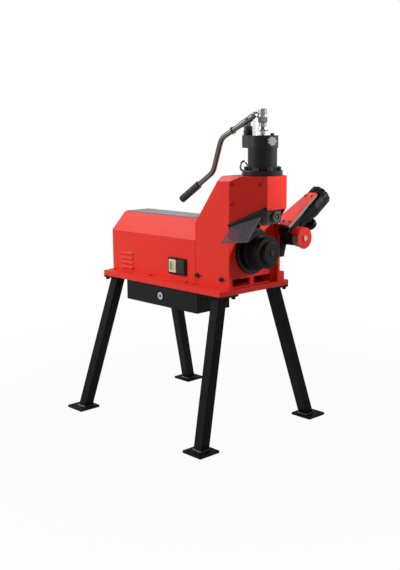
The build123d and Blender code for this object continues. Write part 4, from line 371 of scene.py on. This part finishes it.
def cover_screw_paint():
    """Blacked screws along the table; those on the panels are painted over in red."""
    material, place = start_finish("cover_screw_paint")
    high = place.along("Z").rise(PANEL_SCREW_Z, PANEL_SCREW_Z + 0.01)
    wear = place.noise(300.0, 3.0)
    black = wear.blend(colour(0.012, 0.006, 0.006), colour(0.03, 0.016, 0.016))
    red = wear.blend(colour(0.26, 0.012, 0.010), colour(0.36, 0.02, 0.016))
    return end_finish(material, place, {
        "Base Color": high.blend(black, red),
        "Roughness": wear.between(0.35, 0.5),
        "Specular IOR Level": 0.2,
        "Normal": soft_edge(place, 0.0006),
    })


def cylinder_head_coat():
    """Black powder coat, with the adjuster's neck left bright."""
    material, place = start_finish("cylinder_head_coat")
    radius = reach(place.along("X") - KNOB_X, place.along("Y"))
    neck = radius.rise(NECK_R + 0.0004, NECK_R)
    bare = neck * place.along("Z").rise(HEAD_TOP_Z + 0.0003, HEAD_TOP_Z + 0.0008)
    drift = place.noise(20.0, 3.0)
    black = drift.blend(colour(0.008, 0.008, 0.009), colour(0.014, 0.014, 0.016))
    return end_finish(material, place, {
        "Base Color": bare.blend(black, colour(0.6, 0.6, 0.61)),
        "Metallic": bare,
        "Roughness": drift.between(0.34, 0.44) - bare * 0.14,
        "Specular IOR Level": 0.3,
        "Normal": place.noise(1400.0, 2.0).bump(0.00006, soft_edge(place, 0.0012)),
    })


def axle_nut_steel():
    """Dull grey nut and axle, with painted shade in the groove round the boss."""
    material, place = start_finish("axle_nut_steel")
    radius = ring_radius(place, AXLE_Z)
    outside_boss = radius.rise(NUT_GROOVE_IN - 0.0002, NUT_GROOVE_IN)
    inside_nut = radius.rise(NUT_GROOVE_OUT + 0.0004, NUT_GROOVE_OUT)
    wear = place.noise(120.0, 5.0, 0.65)
    grey = wear.blend(colour(0.05, 0.052, 0.05), colour(0.13, 0.135, 0.13))
    return end_finish(material, place, {
        # Painted shade: the ring between the boss and the nut is coloured near black
        "Base Color": (outside_boss * inside_nut).blend(grey, colour(0.008, 0.009, 0.008)),
        "Metallic": 0.3,
        "Roughness": wear.between(0.38, 0.5),
        "Normal": wear.bump(0.00003, soft_edge(place, 0.0008)),
    })


def link_steel():
    """Bright link blade whose pin is blacked where it stands out on both sides."""
    material, place = start_finish("link_steel")
    pin = abs(place.along("Y")).rise(LINK_HALF_T, LINK_HALF_T + 0.0003)
    streak = place.scratches(ACROSS_X)
    bare = streak.blend(colour(0.36, 0.36, 0.38), colour(0.46, 0.46, 0.48))
    return end_finish(material, place, {
        "Base Color": pin.blend(bare, colour(0.008, 0.008, 0.009)),
        "Metallic": pin.between(0.9, 0.0),
        "Roughness": streak.between(0.34, 0.44),
        "Normal": streak.bump(SCRATCH_DEPTH, soft_edge(place, 0.0006)),
    })


def lever_lacquer():
    """Black lever under a hard, highly reflecting lacquer."""
    material, place = start_finish("lever_lacquer")
    drift = place.noise(40.0, 4.0)
    return end_finish(material, place, {
        "Base Color": drift.blend(colour(0.004, 0.004, 0.0045), colour(0.008, 0.008, 0.009)),
        "Roughness": drift.between(0.2, 0.3),
        "Coat Weight": drift.between(0.9, 1.0),
        "Coat IOR": 1.75,
        "Coat Roughness": 0.05,
        "Normal": place.noise(900.0, 2.0).bump(0.00001, soft_edge(place, 0.0012)),
    })


def guard_sheet_paint():
    """Grey perforated sheet whose rolled knuckle is black like the hinge."""
    material, place = start_finish("guard_sheet_paint")
    up = place.dot(HINGE_UP) - HINGE_START.dot(HINGE_UP)
    knuckle = up.rise(-0.0006, 0.0002)
    drift = place.noise(30.0, 4.0)
    grey = drift.blend(colour(0.15, 0.142, 0.16), colour(0.2, 0.19, 0.215))
    return end_finish(material, place, {
        "Base Color": knuckle.blend(grey, colour(0.012, 0.012, 0.013)),
        "Roughness": drift.between(0.4, 0.52),
        "Specular IOR Level": 0.3,
        "Normal": place.noise(900.0, 2.0).bump(0.00004, soft_edge(place, 0.0004)),
    })


LEG_BLACK = painted(
    "leg_powder_coat", colour(0.004, 0.004, 0.0042), colour(0.006, 0.006, 0.0063),
    rough=(0.46, 0.56), peel_scale=1400.0, peel_depth=0.00008, edge=0.0012,
    scuff=colour(0.012, 0.012, 0.012), shine=0.07,
)
WELD_BLACK = painted(
    "weld_powder_coat", colour(0.01, 0.01, 0.01), colour(0.03, 0.03, 0.03),
    rough=(0.14, 0.26), peel_scale=500.0, peel_depth=0.0004, edge=0.0006,
    scuff=colour(0.1, 0.1, 0.1), shine=0.6,
)

# Finish of each material slot in the record
FINISHES = {
    "red_paint": painted(
        "red_enamel", colour(0.73, 0.028, 0.018), colour(0.80, 0.034, 0.022),
        rough=(0.32, 0.42), peel_scale=700.0, peel_depth=0.00002, edge=0.0012,
        scuff=colour(0.68, 0.05, 0.04), shine=0.14,
    ),
    "black_paint": painted(
        "black_powder_coat", colour(0.006, 0.006, 0.0065), colour(0.009, 0.009, 0.0098),
        rough=(0.38, 0.48), peel_scale=1400.0, peel_depth=0.00008, edge=0.0012,
        scuff=colour(0.016, 0.016, 0.017), shine=0.1,
    ),
    "cast_grey": painted(
        "cast_grey", colour(0.12, 0.12, 0.125), colour(0.2, 0.2, 0.21),
        rough=(0.5, 0.62), peel_scale=350.0, peel_depth=0.0004, edge=0.0015,
        scuff=colour(0.26, 0.26, 0.27), shine=0.3,
    ),
    "dark_steel": brushed(
        "blacked_steel", colour(0.008, 0.008, 0.0085), colour(0.02, 0.02, 0.021),
        rough=(0.32, 0.44), grain=ACROSS_X, metallic=0.1,
    ),
    "bright_steel": brushed(
        "ground_steel", colour(0.42, 0.42, 0.43), colour(0.6, 0.6, 0.61),
        rough=(0.24, 0.36), grain=ACROSS_Y,
    ),
    "zinc_roller": brushed(
        "yellow_zinc", colour(0.22, 0.2, 0.11), colour(0.36, 0.32, 0.19),
        rough=(0.34, 0.46), grain=ACROSS_X, metallic=0.2,
    ),
    "grey_mat": moulded(
        "grey_mat", colour(0.18, 0.176, 0.19), colour(0.235, 0.23, 0.247),
        rough=(0.7, 0.8), grain_scale=900.0, grain_depth=0.0002, shine=0.05,
    ),
    "grip_rubber": moulded(
        "grip_rubber", colour(0.010, 0.010, 0.011), colour(0.018, 0.018, 0.019),
        rough=(0.28, 0.4), grain_scale=1200.0, grain_depth=0.0001,
    ),
    "black_plastic": moulded(
        "gloss_black", colour(0.005, 0.005, 0.0055), colour(0.009, 0.009, 0.010),
        rough=(0.22, 0.3), grain_scale=500.0, grain_depth=0.00004, shine=0.08,
    ),
    "switch_plastic": moulded(
        "satin_black", colour(0.008, 0.005, 0.005), colour(0.012, 0.008, 0.008),
        rough=(0.4, 0.52), grain_scale=1500.0, grain_depth=0.00006, shine=0.15,
    ),
    "stop_plastic": moulded(
        "stop_button_plastic", colour(0.02, 0.015, 0.015), colour(0.035, 0.028, 0.028),
        rough=(0.25, 0.36), grain_scale=900.0, grain_depth=0.00004, shine=0.2,
    ),
    "start_plastic": start_button_plastic(),
    "chrome": knurled_chrome(),
    "guard_sheet": guard_sheet_paint(),
}

# Pieces whose finish differs from that of their slot
OWN_FINISHES = {
    "leg_roll_operator": LEG_BLACK,
    "leg_roll_far": LEG_BLACK,
    "leg_motor_operator": LEG_BLACK,
    "leg_motor_far": LEG_BLACK,
    "leg_bolts": LEG_BLACK,
    "stabilizer_arm": LEG_BLACK,
    "stabilizer_bracket": LEG_BLACK,
    "cylinder_barrel": painted(
        "cylinder_satin", colour(0.010, 0.010, 0.011), colour(0.015, 0.015, 0.0165),
        rough=(0.3, 0.38), peel_scale=1400.0, peel_depth=0.00004, edge=0.0012,
        scuff=colour(0.03, 0.03, 0.032), shine=0.2,
    ),
    "drive_roll": turned(
        "turned_black_roll", colour(0.013, 0.013, 0.0122), colour(0.021, 0.021, 0.02),
        rough=(0.42, 0.5), centre_z=SHAFT_Z, ring_depth=0.00003, metallic=0.0, shine=0.07,
    ),
    "bearing_cover": turned(
        "bearing_cover_black", colour(0.005, 0.005, 0.0053), colour(0.010, 0.010, 0.0105),
        rough=(0.38, 0.5), centre_z=SHAFT_Z, ring_depth=0.00004, metallic=0.0, shine=0.2,
    ),
    "groove_roll": turned(
        "groove_roll_steel", colour(0.08, 0.08, 0.08), colour(0.16, 0.16, 0.16),
        rough=(0.3, 0.42), centre_z=AXLE_Z, ring_depth=0.00004,
    ),
    "stabilizer_rail": brushed(
        "stabilizer_rail_steel", colour(0.12, 0.12, 0.11), colour(0.2, 0.2, 0.185),
        rough=(0.3, 0.42), grain=ACROSS_X, metallic=0.5,
    ),
    "drive_shaft": capped_steel(
        "drive_shaft_steel", colour(0.42, 0.42, 0.43), colour(0.6, 0.6, 0.61),
        cap_x=ROLL_END_X, cap_dark=colour(0.03, 0.028, 0.02), cap_light=colour(0.09, 0.08, 0.055), metallic=1.0,
    ),
    "stabilizer_slider": capped_steel(
        "slider_steel", colour(0.006, 0.006, 0.0065), colour(0.014, 0.014, 0.015),
        cap_x=HOOD_FACE_X, cap_dark=colour(0.36, 0.3, 0.26), cap_light=colour(0.54, 0.46, 0.42), metallic=0.0,
    ),
    "ram_slide": ram_steel(),
    "small_screws": cover_screw_paint(),
    "cylinder_head": cylinder_head_coat(),
    "pump_link": link_steel(),
    "pump_lever": lever_lacquer(),
    "upper_axle": axle_nut_steel(),
    "drawer_lock": lock_face_steel(),
}

for part in frame["record"]["subparts"]:
    piece = frame["nodes"][part["node"]]
    finish = OWN_FINISHES.get(part["node"], FINISHES[part["material_slot"]])
    piece.data.materials.clear()
    piece.data.materials.append(finish)


def leg_section(side_x, side_y, height):
    """Corners of a leg's square tube where a level plane cuts it."""
    top = Vector((side_x * LEG_TOP[0], side_y * LEG_TOP[1], LEG_TOP[2]))
    foot = Vector((side_x * LEG_FOOT[0], side_y * LEG_FOOT[1], LEG_FOOT[2]))
    line = (top - foot).normalized()
    across = Vector((1, 0, -line.x / line.z))
    across = (across - across.dot(line) * line).normalized()
    other = line.cross(across)
    centre = foot + line * (height / line.z)
    corners = []
    for u, v in ((-1, -1), (1, -1), (1, 1), (-1, 1)):
        edge = (across * u + other * v) * (LEG_TUBE / 2)
        corners.append(centre + edge - line * (edge.z / line.z))
    return corners


def weld_bead(corners):
    """Vertices and faces of a rippled bead round a closed row of corners."""
    points = []
    for start, end in zip(corners, corners[1:] + corners[:1]):
        count = max(3, round((end - start).length / RIPPLE * RIPPLE_STEPS))
        points += [start.lerp(end, step / count) for step in range(count)]
    upright = Vector((0, 0, 1))
    vertices, faces = [], []
    for index, point in enumerate(points):
        ahead = (points[(index + 1) % len(points)] - points[index - 1]).normalized()
        out = ahead.cross(upright).normalized()
        thick = BEAD_R * (1.0 + BEAD_SWELL * math.cos(2 * math.pi * index / RIPPLE_STEPS))
        ring = index * BEAD_SIDES
        after = (index + 1) % len(points) * BEAD_SIDES
        for side in range(BEAD_SIDES):
            turn = 2 * math.pi * side / BEAD_SIDES
            beside = (side + 1) % BEAD_SIDES
            vertices.append(point + (out * math.cos(turn) + upright * math.sin(turn)) * thick)
            faces.append((ring + side, ring + beside, after + beside, after + side))
    return vertices, faces


def leg_welds():
    """Fillet welds where each leg's tube meets its foot plate and its flange."""
    vertices, faces = [], []
    for side_x in (-1, 1):
        for side_y in (-1, 1):
            for height in (FOOT_TOP_Z, FLANGE_LOW_Z):
                ring, skin = weld_bead(leg_section(side_x, side_y, height))
                faces += [tuple(index + len(vertices) for index in face) for face in skin]
                vertices += ring
    mesh = bpy.data.meshes.new("leg_welds")
    mesh.from_pydata(vertices, [], faces)
    mesh.update()
    mesh.polygons.foreach_set("use_smooth", [True] * len(faces))
    mesh.materials.append(WELD_BLACK)
    welds = bpy.data.objects.new("leg_welds", mesh)
    bpy.context.scene.collection.objects.link(welds)
    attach(welds, "frame")


def ray_kinds(place):
    """Whether a ray comes from the camera, off a glossy surface or through glass."""
    rays = ("Is Camera Ray", "Is Glossy Ray", "Is Transmission Ray")
    return [place.node("ShaderNodeLightPath", None, None, ray) for ray in rays]


def floor():
    """Pale studio floor that keeps a faint shadow."""
    mesh = bpy.data.meshes.new("studio_floor")
    corners = [(FLOOR_REACH * u, FLOOR_REACH * v, 0) for u, v in ((-1, -1), (1, -1), (1, 1), (-1, 1))]
    mesh.from_pydata(corners, [], [(0, 1, 2, 3)])
    ground = bpy.data.objects.new("studio_floor", mesh)
    ground.location.z = -FLOOR_DROP
    bpy.context.scene.collection.objects.link(ground)
    material, place = start_finish("studio_floor")
    camera, glossy, through = ray_kinds(place)
    away = reach(place.along("X"), place.along("Y"))
    white = away.rise(SHADOW_NEAR, SHADOW_FAR).between(SHADOW_SHARE, 1.0)
    seen = camera.largest(glossy).largest(through) * white
    pale = place.node("ShaderNodeBsdfDiffuse", None, {"Color": colour(FLOOR_SHADE, FLOOR_SHADE, FLOOR_SHADE)})
    bright = place.node("ShaderNodeEmission", None, {"Color": colour(1, 1, 1), "Strength": 1.0})
    mixed = place.node("ShaderNodeMixShader", None, {0: seen, 1: pale, 2: bright})
    place.node("ShaderNodeOutputMaterial", None, {"Surface": mixed})
    mesh.materials.append(material)


def outward(azimuth, elevation):
    """Direction from the machine to a lamp or camera; azimuth 0 is on the operator's side."""
    a, e = math.radians(azimuth), math.radians(elevation)
    return Vector((math.sin(a) * math.cos(e), -math.cos(a) * math.cos(e), math.sin(e)))


def sky():
    """Soft light from all round, seen as plain white; reflections find the dark room in front."""
    world = bpy.data.worlds.new("studio")
    world.use_nodes = True
    world.node_tree.nodes.clear()
    seat = Value(world.node_tree.nodes.new("ShaderNodeTexCoord").outputs["Generated"])
    camera, glossy, through = ray_kinds(seat)
    room = seat.dot(outward(DARK_AZIMUTH, 0.0)).rise(0.0, 0.6).between(ROOM_BRIGHT, ROOM_DARK)
    level = (1 - glossy) * AMBIENT + glossy * room
    sockets = {"Color": colour(1, 1, 1), "Strength": level.largest(camera).largest(through)}
    backdrop = seat.node("ShaderNodeBackground", None, sockets)
    seat.node("ShaderNodeOutputWorld", None, {"Surface": backdrop})
    bpy.context.scene.world = world


def softbox(name, azimuth, elevation, size, level, aim=0.7, beam=180.0):
    """Square lamp facing a point at the aim's height above the floor, with its beam's spread in degrees."""
    lamp = bpy.data.lights.new(name, "AREA")
    lamp.shape = "SQUARE"
    lamp.size = size
    lamp.energy = level * math.pi ** 2 * LAMP_DISTANCE ** 2
    lamp.spread = math.radians(beam)
    holder = bpy.data.objects.new(name, lamp)
    back = outward(azimuth, elevation)
    holder.location = Vector((0, 0, aim)) + back * LAMP_DISTANCE
    holder.rotation_euler = back.to_track_quat("Z", "Y").to_euler()
    bpy.context.scene.collection.objects.link(holder)


def photo_camera():
    """Camera that was fitted to the photo's view."""
    a, roll = math.radians(PHOTO_AZIMUTH), math.radians(PHOTO_ROLL)
    back = outward(PHOTO_AZIMUTH, PHOTO_ELEVATION)
    right = Vector((math.cos(a), math.sin(a), 0))
    up = back.cross(right)
    level = right * math.cos(roll) + up * math.sin(roll)
    upright = up * math.cos(roll) - right * math.sin(roll)
    turn = Matrix((level, upright, back)).transposed().to_4x4()
    lens = bpy.data.cameras.new("photo_camera")
    lens.sensor_width = SENSOR_MM
    lens.lens = PHOTO_FOCAL / PHOTO_SIDE * SENSOR_MM
    lens.shift_x = PHOTO_SHIFT_X / PHOTO_SIDE
    lens.shift_y = PHOTO_SHIFT_Y / PHOTO_SIDE
    holder = bpy.data.objects.new("photo_camera", lens)
    holder.matrix_world = Matrix.Translation(PHOTO_EYE) @ turn
    bpy.context.scene.collection.objects.link(holder)
    bpy.context.scene.camera = holder


leg_welds()
floor()
sky()
softbox("softbox_operator", azimuth=-40.0, elevation=27.0, size=4.0, level=0.93)
softbox("softbox_rolls", azimuth=138.0, elevation=20.0, size=0.6, level=0.0125, aim=0.97, beam=7.0)
softbox("softbox_high", azimuth=-95.0, elevation=46.0, size=3.0, level=0.36)
photo_camera()
bpy.context.scene.view_settings.view_transform = "Standard"
